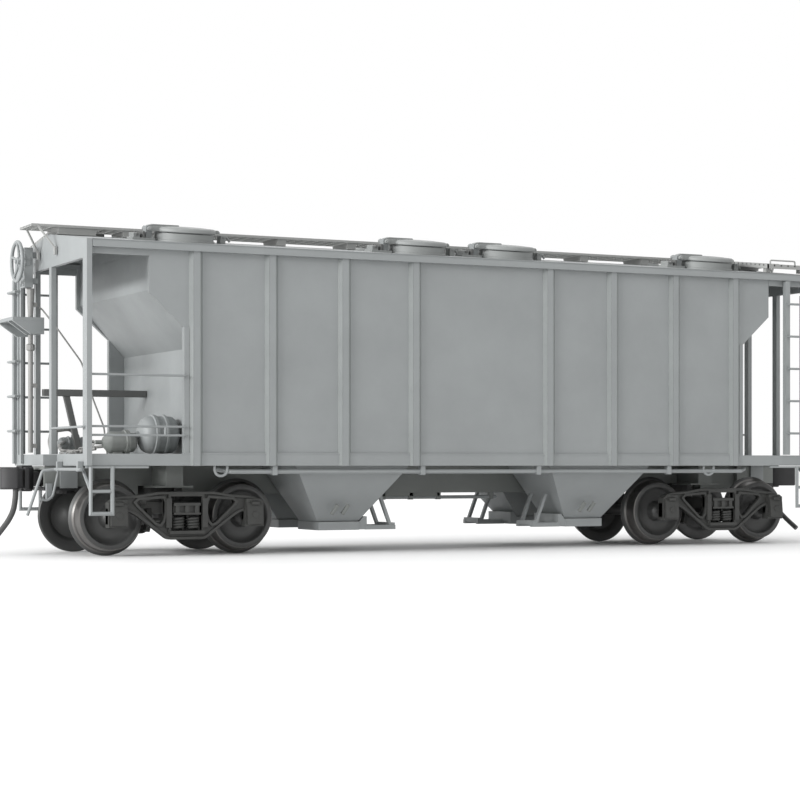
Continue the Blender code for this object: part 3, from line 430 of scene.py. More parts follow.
def wheelset(number, x, body):
    """An axle with two wheels: concave plates, raised rims, tapered treads and flanges."""
    # (radius, distance from the middle of the axle[, 1 where a band of bright tread starts])
    half = [
        (0, 12.88), (0.35, 12.86), (0.66, 12.55), (0.7, 12.3), (0.7, 10.55), (1.15, 10.3), (1.3, 10.05),
        (1.4, 9.6), (1.65, 9.15), (2.3, 8.95), (3.0, 9.0), (3.5, 9.25), (3.72, 9.6), (3.82, 9.9),
        (3.95, 10.0), (4.5, 10.0), (4.62, 9.93, 1), (4.7, 9.7, 1), (4.8, 8.4, 1), (4.87, 8.12, 1),
        (5.1, 7.92), (5.36, 7.74), (5.45, 7.55), (5.42, 7.35), (5.25, 7.2), (4.1, 7.2), (3.8, 7.35),
        (3.4, 7.8), (2.4, 7.75), (1.6, 7.4), (1.3, 7.1), (1.0, 7.0), (0.95, 6.4), (0.85, 2.0),
    ]
    profile = half + [(p[0], -p[1], *p[2:]) for p in half[::-1]]
    # The mirrored half runs the other way, so each of its bright bands starts one point earlier.
    for i in range(1, len(half)):
        if len(half[i - 1]) > 2:
            j = len(profile) - 1 - i
            profile[j] = (*profile[j][:2], 1)
    shape = turned("y", (x, 0, AXLE), profile, 72)
    node = f"wheelset_{number}"
    piece(f"wheels_{number}", body, (WHEEL, TREAD), [shape], replaces=[node])


def on_truck(centre, way, outline):
    """(x, z) from distances along a truck and heights above the railhead."""
    return [(centre + way * x, RAIL + z) for x, z in outline]


def side_frame(end_name, side_name):
    """A cast side frame: flanged windows, column guides and journal boxes with lids."""
    end = ENDS[end_name]
    side = SIDES[side_name]
    centre = end * TRUCK_X
    half = [(4.2, 8.45), (6.6, 8.05), (9.8, 7.8), (11.0, 7.45), (11.55, 6.6), (11.55, 3.45)]
    half += [(8.75, 3.45), (8.75, 5.8), (7.4, 5.1), (5.0, 3.35), (2.8, 1.7)]
    outline = on_truck(centre, 1, half) + on_truck(centre, -1, half[::-1])
    window = on_truck(centre, 1, [(-2.29, 2.96), (2.29, 2.96), (2.29, 7.77), (-2.29, 7.77)])
    corner = [(3.2, 7.0), (3.5, 7.5), (7.0, 7.25), (7.35, 6.95), (7.1, 6.6), (4.4, 4.1), (3.9, 3.95)]
    corner += [(3.5, 4.4), (3.2, 5.4)]
    windows = [on_truck(centre, way, corner) for way in (-1, 1)]
    outer = rounded([(p[0], p[1], 0) for p in outline], 0.5, 3, closed=True)
    outer = [(p.x, p.y) for p in outer]
    web = sorted((side * 12.6, side * 13.35))
    shapes = [plate(outer, [window, *windows], web[0], web[1], 0.08)]
    flange = sorted((side * 12.5, side * 13.7))
    for hole in (window, *windows):
        rim = [tuple(p) for p in grown(hole, 0.42)]
        shapes.append(plate(rim, [hole], flange[0], flange[1], 0.1))
    inset = [tuple(p) for p in grown(outer, -0.4)]
    shapes.append(plate(outer, [inset], flange[0], flange[1], 0.1))
    for way in (-1, 1):
        shapes += journal_box(centre, way, side)
        column = sorted((centre + way * 2.3, centre + way * 3.1))
        shapes.append(box(column, (side * 13.2, side * 13.95), (RAIL + 3.4, RAIL + 7.5)))
    seat = (centre - 2.6, centre + 2.6)
    shapes.append(box(seat, (side * 12.3, side * 14.0), (RAIL + 2.5, RAIL + 2.95)))
    name = f"{end_name}_{side_name}"
    replaced = [f"side_frame_{name}"]
    piece(f"casting_{name}", f"truck_{end_name}", CAST, shapes, replaces=replaced, bevel=0.06)
    springs(end_name, side_name)


def journal_box(centre, way, side):
    """A journal box: its housing, its sloping lid with a hinge hood, and the lid's round boss."""
    def depth(y):
        """The y of a distance out from the middle of the track."""
        return side * y

    housing = on_truck(centre, way, [(8.7, 3.45), (11.55, 3.45), (11.55, 7.0), (11.0, 7.4), (8.9, 7.4)])
    shapes = [prism("y", housing, depth(12.5), depth(14.05))]
    lid = [(14.0, 3.7), (14.5, 3.75), (14.56, 4.3), (14.35, 6.2), (14.2, 6.75), (14.0, 6.8)]
    face = [(depth(y), RAIL + z) for y, z in lid]
    x = sorted((centre + way * 8.95, centre + way * 11.35))
    shapes.append(prism("x", face, x[0], x[1]))
    middle = centre + way * 10.15
    hood = [(14.0, 6.5), (14.55, 6.55), (14.55, 6.95), (14.0, 7.15)]
    face = [(depth(y), RAIL + z) for y, z in hood]
    shapes.append(prism("x", face, middle - 0.6, middle + 0.6))
    boss = [(0, depth(14.2)), (0.55, depth(14.2)), (0.45, depth(14.58)), (0, depth(14.6))]
    shapes.append(turned("y", (middle, 0, RAIL + 5.1), boss, 20))
    return shapes


def coil(x, y, low, high):
    """A coil spring on an upright axis, a little narrower across the truck."""
    radius = 0.78
    wire = 0.19
    turns = 4.5
    steps = 54
    path = []
    for i in range(steps + 1):
        turn = 2 * math.pi * turns * i / steps
        z = low + (high - low) * i / steps
        path.append((x + radius * math.cos(turn), y + 0.85 * radius * math.sin(turn), z))
    return tube(path, wire, 7)


def springs(end_name, side_name):
    """Four coil springs under a bolster end, with the plate the inner pair stands on."""
    side = SIDES[side_name]
    centre = ENDS[end_name] * TRUCK_X
    shapes = []
    for y in (13.05, 11.6):
        for dx in (-1.12, 1.12):
            shapes.append(coil(centre + dx, side * y, RAIL + 3.18, RAIL + 4.95))
    seat = (RAIL + 2.5, RAIL + 2.95)
    shapes.append(box((centre - 2.15, centre + 2.15), (side * 10.6, side * 12.45), seat))
    piece(f"springs_{end_name}_{side_name}", f"truck_{end_name}", CAST, shapes)


def bolster_end(end_name, side_name):
    """The ribbed end of a truck bolster, seen in its side frame's window."""
    side = SIDES[side_name]
    centre = ENDS[end_name] * TRUCK_X
    shapes = []

    def add(dx, half, reach, low, high):
        """A block on the bolster's end face, its heights above the railhead."""
        x = (centre + dx - half, centre + dx + half)
        shapes.append(box(x, (side * 13.5, side * reach), (RAIL + low, RAIL + high)))

    for dx in (-1.45, 0.0, 1.45):
        add(dx, 0.3, 13.95, 5.3, 6.5)
    add(0.0, 2.0, 14.0, 6.45, 6.88)
    add(0.0, 2.0, 14.0, 5.2, 5.5)
    name = f"bolster_end_{end_name}_{side_name}"
    piece(name, f"truck_{end_name}", CAST, shapes, bevel=0.05)


def brake_beams(end_name):
    """The brake shoes and the beams between them, inside a truck."""
    centre = ENDS[end_name] * TRUCK_X
    angles = (-20, -10, 0, 12)
    shapes = []
    for way in (-1, 1):
        beam_x = centre + way * 3.35
        wheel_x = centre + way * WHEELBASE / 2
        shapes.append(tube([(beam_x, -9.6, AXLE - 0.9), (beam_x, 9.6, AXLE - 0.9)], 0.35, 10))
        shoe = []
        for radius, order in ((5.62, angles), (6.3, angles[::-1])):
            for angle in order:
                turn = math.radians(angle)
                shoe.append((wheel_x - way * radius * math.cos(turn), AXLE + radius * math.sin(turn)))
        for side in (-1, 1):
            shapes.append(prism("y", shoe, side * 8.0, side * 9.4))
    name = f"brake_beams_{end_name}"
    piece(name, f"truck_{end_name}", CAST, shapes, bevel=0.05)


for end_name, end in ENDS.items():
    for side_name, side in SIDES.items():
        side_frame(end_name, side_name)
        bolster_end(end_name, side_name)
        number = 2 * (end > 0) + (side > 0) + 1
        wheelset(number, end * TRUCK_X + side * WHEELBASE / 2, f"wheelset_{number}")
    brake_beams(end_name)


# ---------------------------------------------------------------- roof


def leaning(y):
    """The matrix that tilts an upright shape at a hatch square to the roof's slope."""
    foot = Matrix.Translation((0, y, sill(HATCH_FOOT)))
    angle = ROOF_SLOPE if y < 0 else -ROOF_SLOPE
    return foot @ Matrix.Rotation(angle, 4, "X") @ foot.inverted()


def hatch_lid(number, x, y):
    """A lid with its pressed ring, strap, hinge lugs and pin, and latch tab."""
    base = sill(LID_LOW)
    hinge = x + HINGE_DX

    def raised(points):
        """Points with their second value, a height above the lid's underside, made a z."""
        return [(first, base + rise) for first, rise in points]

    dome = raised([
        (0, 0.0), (4.25, 0.0), (4.42, 0.02), (4.5, 0.1), (4.5, 0.42), (4.42, 0.58), (4.2, 0.7),
        (3.7, 0.76), (3.5, 0.72), (3.3, 0.77), (2.4, 0.84), (1.2, 0.88), (0, 0.89),
    ])
    strap = raised([
        (hinge - 0.1, 0.25), (hinge - 0.35, 0.4), (hinge - 0.1, 0.85), (hinge + 0.7, 1.05),
        (x - 1.0, 1.05), (x - 0.9, 0.85), (hinge + 1.3, 0.7), (hinge + 0.5, 0.35),
    ])
    lug = raised([
        (hinge - 0.35, 0.15), (hinge - 0.42, 0.4), (hinge - 0.3, 0.62), (hinge, 0.75),
        (x - 3.9, 0.75), (x - 3.9, 0.1), (hinge, 0.05),
    ])
    tab = raised([(x + 3.9, 0.12), (x + 3.9, 0.6), (x + 4.9, 0.6), (x + 5.15, 0.4), (x + 5.15, 0.12)])
    shapes = [turned("z", (x, y, 0), dome, 72)]
    shapes.append(prism("y", strap, y - 0.45, y + 0.45))
    for way in (-1, 1):
        shapes.append(prism("y", lug, y + way * 0.85, y + way * 1.4))
    shapes.append(tube([(hinge, y - 1.6, base + 0.4), (hinge, y + 1.6, base + 0.4)], 0.2, 12))
    shapes.append(prism("y", tab, y - 0.75, y + 0.75))
    shapes = [moved(shape, leaning(y)) for shape in shapes]
    piece(f"lid_{number}", f"hatch_{number}", LID, shapes, replaces=[f"hatch_lid_{number}"], bevel=0.05)


def hatch_gear(number, x, y):
    """A hatch's coaming rings on the roof, its hinge stand on the left and its latch on the right."""
    foot = sill(HATCH_FOOT)
    shapes = []

    def block(along, across, rise, slot=0):
        """A block placed from the hatch's centre, its heights above the roof."""
        spans = ([x + v for v in along], [y + v for v in across], [foot + v for v in rise])
        shapes.append(box(*spans, slot))

    block((-8.1, -4.7), (-1.25, 1.25), (-0.1, 0.32))
    block((-7.9, -6.9), (-1.0, 1.0), (0.2, 0.95))
    stand_rod = [(x - 7.4, y - 1.35, foot + 0.8), (x - 7.4, y + 1.35, foot + 0.8)]
    shapes.append(tube(stand_rod, 0.22, 10, slot=1))
    block((-6.6, -6.25), (-1.2, 1.2), (0.2, 1.25), 1)
    for way in (-1, 1):
        block((5.3, 6.1), (way * 0.35, way * 0.75), (-0.1, 1.2))
    latch = (x + 5.75, y, foot + 0.95)
    shapes.append(tube([(latch[0], y - 0.9, latch[2]), (latch[0], y + 0.9, latch[2])], 0.17, 10))
    shapes.append(tube([latch, (x + 6.5, y, foot + 1.0), (x + 7.0, y, foot + 0.3)], 0.18, 8, 0.3))
    for inner, inner_top, outer, outer_top in ((4.2, 0.3, 4.4, 0.22), (4.1, 1.17, 4.24, 1.17)):
        low = foot - 0.5
        wall = [(inner, low), (outer, low), (outer, foot + outer_top), (inner, foot + inner_top)]
        shapes.append(turned("z", (x, y, 0), wall, 64, ring=True))
    shapes = [moved(shape, leaning(y)) for shape in shapes]
    piece(f"hatch_gear_{number}", "carbody", (LID, STRUT), shapes, bevel=0.05)


for number, (y, x) in enumerate(((y, x) for y in (-HATCH_Y, HATCH_Y) for x in HATCH_X), 1):
    hatch_lid(number, x, y)
    hatch_gear(number, x, y)


def running_board():
    """The board along the ridge: rails, strips and crossbars on saddles, braced at its ends."""
    top = sill(34.3)
    low = sill(WALK_LOW)
    foot = sill(33.0)
    end_x = 65.1
    rib = 0.12  # half the width of a crossbar
    shapes = []
    for side in (-1, 1):
        shapes.append(box((-end_x, end_x), (side * 2.78, side * 3.0), (low, top)))
        for y in (0.45, 1.2, 2.0):
            strip = (side * (y - 0.13), side * (y + 0.13))
            shapes.append(box((-end_x, end_x), strip, (low + 0.12, top - 0.02)))
    count = 84
    for i in range(count + 1):
        x = (end_x - rib) * (2 * i / count - 1)
        shapes.append(box((x - rib, x + rib), (-2.9, 2.9), (low + 0.02, top - 0.06)))
    saddle = [(-2.9, low + 0.1), (2.9, low + 0.1), (2.6, foot + 0.25), (2.6, foot)]
    saddle += [(-2.6, foot), (-2.6, foot + 0.25)]
    # (where a saddle is, half its length)
    places = ((1.9, 0.7), (15.0, 0.7), (26.6, 0.7), (38.2, 0.7), (50.7, 0.7), (58.3, 2.8))
    for end in (-1, 1):
        for x, reach in places:
            shapes.append(prism("x", saddle, end * x - reach, end * x + reach))
        for side in (-1, 1):
            post = (end * (END_X + 0.35), side * 4.2)
            stop = (end * (end_x - 0.9), side * 2.7, low + 0.15)
            shapes.append(bar((*post, sill(30.85)), stop, 0.4, 0.2, (0, 1, 0)))
            shapes.append(bar((*post, sill(31.05)), (*post, sill(29.9)), 0.6, 0.3, (0, 1, 0)))
    piece("roof_walk", "carbody", BOARD, shapes, replaces=["running_board"])


def lateral_board(end_name):
    """A short sloping board out to a ladder: a framed grid on four feet, with a grab iron."""
    end = ENDS[end_name]
    top = sill(34.7)
    low = sill(34.0)
    start = 52.4
    stop = 60.4
    near = 3.15
    far = 16.9
    frame_width = 0.2
    rib = 0.12  # half the width of a strip or crossbar
    shapes = []

    def add(x, y, z):
        """A block on the board, given along the car, out from the middle and by its heights."""
        block = box([end * v for v in x], [-end * v for v in y], z)
        shapes.append(sloped(block))

    for edge in (start, stop - frame_width):
        add((edge, edge + frame_width), (near, far), (low, top))
    for edge in (near, far - frame_width):
        add((start, stop), (edge, edge + frame_width), (low, top))
    for i in range(-2, 3):
        x = (start + stop) / 2 + 1.35 * i
        add((x - rib, x + rib), (near, far), (top - 0.3, top - 0.03))
    count = 12
    for i in range(1, count):
        y = near + (far - near) * i / count
        add((start, stop), (y - rib, y + rib), (top - 0.32, top - 0.05))
    half = 0.4
    foot = sill(RIDGE + GAP + half * ROOF_FALL)
    for x in (53.1, 59.7):
        for y in (7.0, 15.6):
            add((x - half, x + half), (y - half, y + half), (foot, low + 0.1))
    rail = [(53.3, 32.5), (53.3, 33.2), (58.2, 33.2), (58.2, 32.5)]
    path = [(end * x, -end * 16.3, sill(h)) for x, h in rail]
    shapes.append(tube(path, 0.13, 8, 0.25))
    piece(f"side_walk_{end_name}", "carbody", BOARD, shapes, replaces=[f"lateral_board_{end_name}"])


def sloped(shape):
    """A level shape let down towards the eaves, as the roof falls."""
    vertices, faces, slots = shape
    return [Vector((v.x, v.y, v.z - ROOF_FALL * abs(v.y))) for v in vertices], faces, slots


running_board()
for end_name in ENDS:
    lateral_board(end_name)


# ---------------------------------------------------------------- body details


def side_trim(side_name):
    """A side's ledge, end strips, sill straps, darker strips of painted shade on the ribs' flanks and a
    lip under the chord.
    """
    side = SIDES[side_name]
    sheet = side * SHEET_Y
    flank = [(0.9, 16.8), (1.05, 16.92), (0.52, 17.47), (0.4, 17.4)]
    shapes = [box((-47.3, 47.3), (sheet - side * 0.1, sheet + side * 0.24), (sill(1.62), sill(1.8)))]
    for end in (-1, 1):
        strip = (end * 47.38, end * 46.7)
        shapes.append(box(strip, (sheet - side * 0.3, sheet + side * 0.14), (sill(1.7), sill(19.3))))
        lip = (end * 52.5, end * 60.9)
        shapes.append(box(lip, (side * 16.5, side * 16.95), (sill(29.0), sill(29.95))))
        strap = (end * 52.7, end * 61.6)
        shapes.append(box(strap, (side * 16.7, side * 17.3), (sill(-0.35), sill(-0.07))))
        # Thin strips over both flanks of each rib, in the darker grey: painted shade.
        for i in range(1, 5):
            for way in (-1, 1):
                outline = [(end * i * RIB_PITCH + way * dx, side * y) for dx, y in flank]
                shapes.append(prism("z", outline, sill(0.02), sill(29.86), 1))
    piece(f"side_trim_{side_name}", "carbody", (BODY, FLANK_SHADE), shapes)


def gable(end_name):
    """The inner gable that closes the space between a slope sheet and the roof."""
    end = ENDS[end_name]
    outline = [(-16.0, 29.8), (16.0, 29.8), (16.0, 30.88), (0.0, 32.63), (-16.0, 30.88)]
    shape = prism("x", [(y, sill(h)) for y, h in outline], end * 51.3, end * 51.98)
    piece(f"gable_{end_name}", "carbody", BODY, [shape])


def chute_lugs():
    """The pairs of lugs low on the chutes' outer faces."""
    for end_name, end in ENDS.items():
        for side_name, side in SIDES.items():
            shapes = []
            for dx in (-2.1, -0.4):
                x = end * 21.1 + dx
                foot = (x, side * 13.3, sill(-7.1))
                top = (x + 0.75, side * 13.9, sill(-5.7))
                shapes.append(bar(foot, top, 0.5, 0.5, (1, 0, 0)))
            name = f"chute_lugs_{end_name}_{side_name}"
            piece(name, "carbody", SHADE, shapes, bevel=0.08)


def ring_hangers():
    """The U-shaped hangers around the train line, under the front sill."""
    y = -16.6
    radius = 0.95
    steps = 12
    shapes = []
    for x in (-41.8, 41.0):
        path = [(x - radius, y, sill(-0.03))]
        for i in range(steps + 1):
            turn = math.pi * (1 + i / steps)
            path.append((x + radius * math.cos(turn), y, sill(-0.5) + radius * math.sin(turn)))
        path.append((x + radius, y, sill(-0.03)))
        shapes.append(tube(path, 0.2, 8))
    piece("train_line_hangers", "carbody", BODY, shapes)


def grab_irons():
    """The irons from a corner post to the side, and across the end, where there is no ladder."""
    for end_name, end in ENDS.items():
        shapes = []

        def iron(points):
            """A thin bar through (x, y, h) given on the right end and its rear side."""
            path = [(end * x, end * y, sill(h)) for x, y, h in points]
            shapes.append(tube(path, 0.17, 8, 0.3))

        for h in (12.5, 5.4, 4.2):
            iron([(61.2, 17.3, h), (47.2, 17.3, h), (47.2, 16.6, h)])
        iron([(50.3, 17.3, 5.4), (50.3, 17.3, 4.2)])
        iron([(61.6, 17.0, 5.3), (62.3, 17.0, 5.3), (62.3, 3.0, 5.3), (61.6, 3.0, 5.3)])
        piece(f"grab_irons_{end_name}", "carbody", BODY, shapes)


def end_gear():
    """The uncoupling levers, their brackets and hangers, and the cheeks beside the coupler boxes."""
    for end_name, end in ENDS.items():
        shapes = []

        def rod(points, radius):
            """A bar through (x, y, h) given on the right end and its rear side."""
            path = [(end * x, end * y, sill(h)) for x, y, h in points]
            shapes.append(tube(path, radius, 8, 0.35))

        def block(x, y, h):
            """A block given on the right end and its rear side."""
            shapes.append(box([end * v for v in x], [end * v for v in y], [sill(v) for v in h]))

        rod([(62.3, 17.0, -0.5), (62.3, 5.4, -0.5), (64.1, 5.0, -0.7), (66.3, 5.0, -7.0)], 0.24)
        hanger = [(61.6, 4.7, -0.2), (62.0, 4.7, -2.0), (62.5, 4.6, -4.3), (63.3, 4.6, -4.9)]
        rod([*hanger, (64.3, 4.5, -4.7)], 0.2)
        for y in (16.0, 6.5):
            block((61.75, 62.55), (y - 0.3, y + 0.3), (-0.8, 0.6))
        block((62.4, 63.3), (3.62, 4.2), (-4.7, -2.5))
        for way in (1, -1):
            block((58.6, 61.2), (way * 3.56, way * 3.85), (-3.2, 0.05))
        piece(f"end_gear_{end_name}", "carbody", BODY, shapes, bevel=0.05)


def chain(start, stop, sag, count):
    """The links of a chain that sags between two points, each turned a quarter from the last."""
    link = [(0.3, -0.09), (0.42, 0.0), (0.3, 0.09), (0.2, 0.0)]
    turn = Matrix.Rotation((stop - start).to_2d().angle_signed(Vector((1, 0))), 4, "Z")
    shapes = []
    for i in range(count):
        t = (i + 0.5) / count
        middle = start.lerp(stop, t) - Vector((0, 0, 4 * sag * t * (1 - t)))
        shape = turned("z" if i % 2 else "y", (0, 0, 0), link, 14, ring=True)
        shapes.append(moved(shape, Matrix.Translation(middle) @ turn))
    return shapes


def brake_pipes():
    """The retainer pipe, the pipes between the air brake gear and the hand brake's chain."""
    retainer = [
        (-61.2, 6.7, 23.2), (-60.9, 6.2, 22.9), (-60.0, 1.5, 19.8), (-57.8, 1.5, 16.9), (-56.5, 1.5, 15.2),
        (-55.8, 1.5, 13.5), (-54.6, 1.5, 9.6), (-53.0, 1.5, 5.6), (-52.4, 1.5, 1.0),
    ]
    runs = (
        [(-55.0, 9.0, 2.6), (-55.0, 4.0, 2.6), (-52.0, 2.0, 2.9), (-51.4, -4.4, 2.9), (-51.2, -7.9, 4.4)],
        [(-56.6, 8.6, 3.6), (-58.4, 6.0, 3.0), (-59.3, 2.0, 2.2), (-59.0, -4.0, 2.0), (-57.0, -7.0, 2.4)],
        [(-55.0, 8.2, 4.3), (-56.4, 7.0, 5.4), (-59.5, 6.2, 5.0), (-60.5, 4.0, 3.4), (-60.6, 1.5, 1.0)],
        [(-54.3, 10.2, 3.4), (-51.0, 10.8, 3.6), (-48.4, 10.2, 3.0), (-45.3, 10.0, 3.0)],
    )
    shapes = [tube([(x, y, sill(h)) for x, y, h in retainer], 0.13, 8, 0.4)]
    for run in runs:
        shapes.append(tube([(x, y, sill(h)) for x, y, h in run], 0.24, 8, 0.8))
    shapes += chain(Vector((-60.9, -3.0, sill(1.5))), Vector((-57.3, -7.4, sill(3.4))), 0.4, 11)
    piece("brake_pipes", "carbody", ROD, shapes)


def outlet_rods():
    """The rod between the two bays, under the centre sill, with its plate and its brackets."""
    shapes = [tube([(-10.6, -1.9, sill(-4.9)), (10.6, -1.9, sill(-4.9))], 0.28, 10)]
    shapes.append(box((-9.6, 0.4), (-2.3, 2.3), (sill(-4.75), sill(-4.15)), 1))
    for x in (-9.4, -4.6, 0.2, 9.6):
        shapes.append(box((x - 0.35, x + 0.35), (-2.3, -1.5), (sill(-5.25), sill(-4.15)), 1))
    piece("centre_sill_rod", "carbody", (BODY, SHADE), shapes, bevel=0.05)


def reservoir():
    """The air reservoir, its bands, the fitting on its end and its saddles."""
    y = AIR_GEAR_Y
    centre = (0, y, sill(4.4))
    tank = [
        (0, -51.0), (0.9, -50.95), (1.7, -50.75), (2.3, -50.35), (2.6, -49.8), (2.66, -49.3),
        (2.66, -49.2), (2.9, -49.15), (2.9, -48.65), (2.66, -48.6), (2.66, -47.6), (2.9, -47.55),
        (2.9, -47.15), (2.66, -47.1), (2.66, -46.6), (2.6, -46.1), (2.3, -45.7), (1.7, -45.35),
        (0.9, -45.15), (0, -45.1),
    ]
    fitting = [(0, -51.5), (0.42, -51.5), (0.5, -51.4), (0.5, -50.9), (0, -50.9)]
    saddle = [(y - 1.5, sill(DECK)), (y + 1.5, sill(DECK)), (y + 1.1, sill(2.4)), (y - 1.1, sill(2.4))]
    shapes = [turned("x", centre, tank, 56), turned("x", centre, fitting, 24)]
    for x in (-49.1, -47.55):
        shapes.append(prism("x", saddle, x, x + 0.4))
    piece("reservoir_tank", "carbody", BODY, shapes, replaces=["air_reservoir"], bevel=0.04)


def cylinder_unit():
    """The brake cylinder with its bolted flange, head and push rod, on its bridge."""
    y = AIR_GEAR_Y
    z = sill(3.3)
    cylinder = [
        (0, -57.4), (0.3, -57.4), (0.32, -56.4), (0.75, -56.2), (1.0, -55.9), (1.45, -55.5),
        (1.55, -55.2), (1.55, -53.25), (1.8, -53.2), (1.8, -52.95), (1.72, -52.9), (1.8, -52.85),
        (1.8, -52.6), (1.4, -52.5), (1.35, -51.8), (1.0, -51.5), (0, -51.45),
    ]
    flange_bolt = [(0, -53.4), (0.16, -53.38), (0.16, -52.5), (0, -52.48)]
    foot_bolt = [(0, sill(1.3)), (0.3, sill(1.3)), (0.26, sill(1.6)), (0, sill(1.62))]
    shapes = [turned("x", (0, y, z), cylinder, 48)]
    count = 8
    for i in range(count):
        turn = 2 * math.pi * i / count
        centre = (0, y + 1.58 * math.cos(turn), z + 1.58 * math.sin(turn))
        shapes.append(turned("x", centre, flange_bolt, 8))
    shapes.append(box((-55.0, -53.6), (y - 0.8, y + 0.8), (sill(1.3), sill(2.4))))
    shapes.append(box((-58.6, -51.6), (y - 1.9, y + 1.9), (sill(DECK), sill(1.35))))
    for x in (-58.2, -52.0):
        for dy in (-1.4, 1.4):
            shapes.append(turned("z", (x, y + dy, 0), foot_bolt, 6))
    piece("cylinder_unit", "carbody", SHADE, shapes, replaces=["brake_cylinder"], bevel=0.04)


def valve_unit():
    """The control valve: a block with domes, flanges and a bracket."""
    y = 9.0
    z = sill(3.2)
    left = [(0, -57.7), (0.6, -57.6), (0.95, -57.3), (1.05, -56.9), (1.05, -56.3), (1.2, -56.25)]
    left += [(1.2, -55.95), (0, -55.95)]
    right = [(0, -54.05), (1.1, -54.05), (1.1, -53.75), (0.8, -53.7), (0.7, -52.9), (0.4, -52.6)]
    right += [(0, -52.55)]
    cap = [(0, sill(4.1)), (0.7, sill(4.1)), (0.6, sill(4.6)), (0, sill(4.75))]
    shapes = [box((-56.3, -53.7), (y - 1.0, y + 1.0), (sill(2.0), sill(4.2)))]
    shapes.append(turned("x", (0, y, z), left, 32))
    shapes.append(turned("x", (0, y, z), right, 32))
    shapes.append(turned("z", (-55.0, y, 0), cap, 24))
    shapes.append(box((-55.8, -54.2), (y - 0.8, y + 5.6), (sill(DECK), sill(2.1))))
    piece("valve_unit", "carbody", BODY, shapes, replaces=["control_valve"], bevel=0.07)


def hand_brake():
    """The brake wheel: a round rim, five dished spokes, a hub and a nut."""
    x = -64.7
    y = HAND_BRAKE_Y
    z = sill(HAND_BRAKE_H)
    rim_radius = 2.84
    rim_half = 0.26
    steps = 14
    rim = []
    for i in range(steps):
        turn = 2 * math.pi * i / steps
        rim.append((rim_radius + rim_half * math.cos(turn), x + rim_half * math.sin(turn)))
    shapes = [turned("x", (0, y, z), rim, 72, ring=True)]
    count = 5
    for i in range(count):
        turn = 2 * math.pi * i / count + math.pi / 2
        way = Vector((0, math.cos(turn), math.sin(turn)))
        dish = Vector((x + 0.25, y, z))
        path = [dish + way * 0.3, dish + way * 1.2, Vector((x, y, z)) + way * 2.8]
        shapes.append(tube(path, 0.2, 8, 0.6))
    hub = [(0, x - 0.33), (0.3, x - 0.33), (0.34, x - 0.1), (0.6, x - 0.05), (0.66, x + 0.5)]
    hub += [(0.45, x + 0.53), (0.45, x + 1.38), (0, x + 1.4)]
    shapes.append(turned("x", (0, y, z), hub, 28))
    piece("hand_wheel", "brake_wheel", BODY, shapes, replaces=["brake_wheel"])


def gear_housing():
    """The boss and the bolts on the hand brake's housing."""
    boss = [(1.25, -63.95), (1.3, -63.8), (1.3, HOUSING_X), (1.0, -64.08), (0.6, -64.1)]
    bolt = [(0, -64.08), (0.2, -64.06), (0.22, HOUSING_X), (0, HOUSING_X)]
    shapes = [turned("x", (0, HAND_BRAKE_Y, sill(HAND_BRAKE_H)), boss, 32, ring=True)]
    for dy, h in ((-0.7, 26.3), (0.7, 26.3), (-0.7, 31.3), (0.7, 31.3), (0.0, 27.6)):
        shapes.append(turned("x", (0, HAND_BRAKE_Y + dy, sill(h)), bolt, 8))
    piece("housing_bolts", "carbody", BODY, shapes)


for side_name in SIDES:
    side_trim(side_name)
for end_name in ENDS:
    gable(end_name)
chute_lugs()
ring_hangers()
grab_irons()
end_gear()
brake_pipes()
outlet_rods()
reservoir()
cylinder_unit()
valve_unit()
hand_brake()
gear_housing()


# ---------------------------------------------------------------- couplers


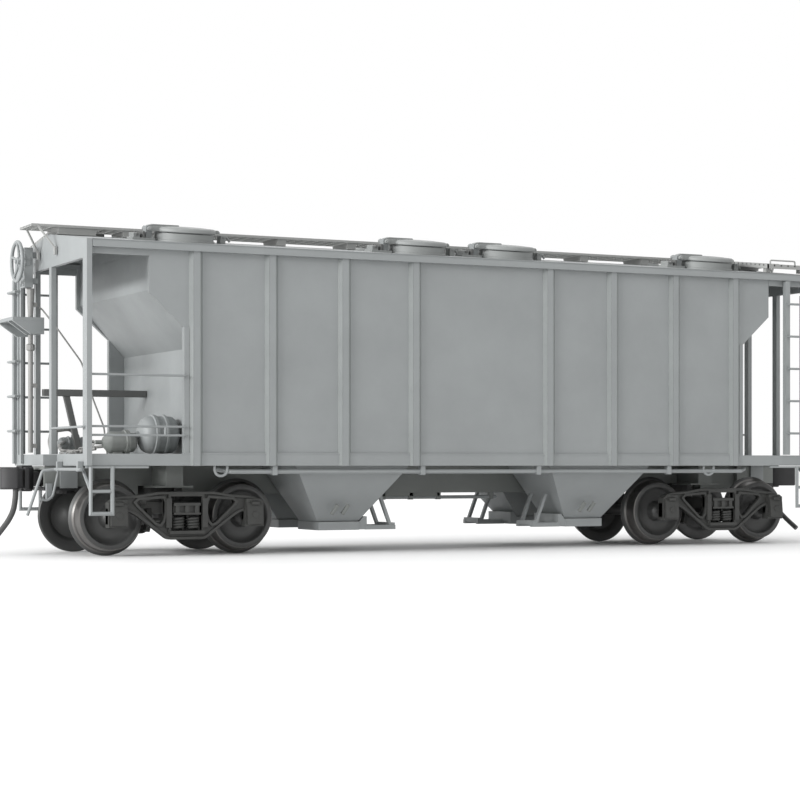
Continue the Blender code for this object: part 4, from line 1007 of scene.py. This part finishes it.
def coupler(end_name):
    """A coupler's shank and shaped head, and its knuckle with the trip pin below."""
    end = ENDS[end_name]
    z = COUPLER_Z

    def at(outline):
        """(x, y) from distances out from the pivot and to the coupler's left."""
        return [(end * (PIVOT_X + out), end * left) for out, left in outline]

    def slab(outline, half):
        """An outline as thick above the coupler's middle as below it."""
        return prism("z", at(outline), z - half, z + half)

    head = [(5.0, -1.0), (5.9, -2.0), (7.6, -2.5), (9.3, -2.9), (9.7, -2.5), (8.8, -1.4)]
    head += [(7.8, -0.9), (7.4, 0.2), (6.7, 0.7), (6.7, 2.3), (6.0, 2.3), (5.0, 1.0)]
    eye = [(0.88, z - 0.85), (1.75, z - 0.85), (1.75, z + 0.85), (0.88, z + 0.85)]
    shapes = [slab([(1.6, -1.1), (6.2, -1.1), (6.2, 1.1), (1.6, 1.1)], 0.9)]
    shapes.append(turned("z", (end * PIVOT_X, 0, 0), eye, 40, ring=True))
    shapes.append(slab(head, 1.6))
    shapes.append(slab([(5.2, -1.2), (6.8, -1.9), (6.9, 1.2), (5.2, 1.2)], 1.85))
    body = f"coupler_{end_name}"
    piece(f"coupler_head_{end_name}", body, COUPLER, shapes, replaces=[body], bevel=0.18)

    knuckle = (7.9, 1.9)
    jaw = [(7.0, 1.1), (7.0, 2.5), (7.9, 2.75), (9.2, 2.3), (9.9, 1.5), (9.9, 0.1), (9.3, -0.3)]
    jaw += [(8.8, -0.1), (8.9, 0.8), (8.3, 1.3), (7.7, 1.0)]
    rivet = [(0, z - 1.6), (0.5, z - 1.6), (0.5, z + 1.6), (0, z + 1.6)]
    shapes = [slab(jaw, 1.45), turned("z", (*at([knuckle])[0], 0), rivet, 20)]
    body = f"knuckle_{end_name}"
    piece(f"coupler_jaw_{end_name}", body, COUPLER, shapes, replaces=[body], bevel=0.15)

    route = [knuckle, knuckle, (8.1, 1.6), (8.6, 0.7), (9.3, -0.6), (10.0, -2.4)]
    drops = (1.0, 2.5, 4.5, 6.0, 7.4, 8.9)
    path = [(x, y, z - drop) for (x, y), drop in zip(at(route), drops)]
    pin = tube(path, 0.4, 14, 1.0)
    piece(f"coupler_pin_{end_name}", body, WHEEL, [pin])


for end_name in ENDS:
    coupler(end_name)


# ---------------------------------------------------------------- stage


def stage():
    """A pale floor and soft studio lights."""
    bpy.ops.mesh.primitive_plane_add(size=8.0, location=(0.0, 0.0, -0.00002))
    floor = bpy.context.object
    floor.name = "floor"
    floor.data.materials.append(grained("floor_paper", (0.86, 0.86, 0.86), 0.9, 0.01, 0.01, scale=0.05))
    world = bpy.data.worlds.new("studio")
    world.use_nodes = True
    world.node_tree.nodes["Background"].inputs["Color"].default_value = (1.0, 1.0, 1.0, 1.0)
    world.node_tree.nodes["Background"].inputs["Strength"].default_value = 1.0
    bpy.context.scene.world = world
    # (name, place, width, height, watts); all of them aim at one spot low in the car
    lamps = (
        ("key", (-1.0, -0.12, 0.3), 0.7, 0.12, 10.3),
        ("fill", (-0.9, -0.35, 0.06), 0.3, 0.3, 0.9),
        ("top", (-0.1, -0.2, 1.1), 0.6, 0.6, 0.8),
        ("back", (0.3, 0.9, 0.6), 0.6, 0.6, 0.8),
    )
    target = Vector((0.0, 0.0, 0.02))
    for name, spot, width, height, power in lamps:
        data = bpy.data.lights.new(name, "AREA")
        data.shape = "RECTANGLE"
        data.size = width
        data.size_y = height
        data.energy = power
        lamp = bpy.data.objects.new(name, data)
        lamp.location = spot
        lamp.rotation_mode = "QUATERNION"
        lamp.rotation_quaternion = (Vector(spot) - target).to_track_quat("Z", "Y")
        bpy.context.scene.collection.objects.link(lamp)


def add_camera():
    """The camera: level and low at the front left, its frame moved up by its shift."""
    data = bpy.data.cameras.new("camera")
    data.sensor_width = 36.0
    data.lens = 90.82
    data.shift_y = 0.0816
    data.clip_start = 0.01
    data.clip_end = 20.0
    camera = bpy.data.objects.new("camera", data)
    camera.location = (-0.14555, -0.28170, 0.01280)
    camera.rotation_euler = (math.radians(90.0), 0.0, math.radians(-26.445))
    bpy.context.scene.collection.objects.link(camera)
    bpy.context.scene.camera = camera


stage()
add_camera()
bpy.context.scene.view_settings.view_transform = "Standard"
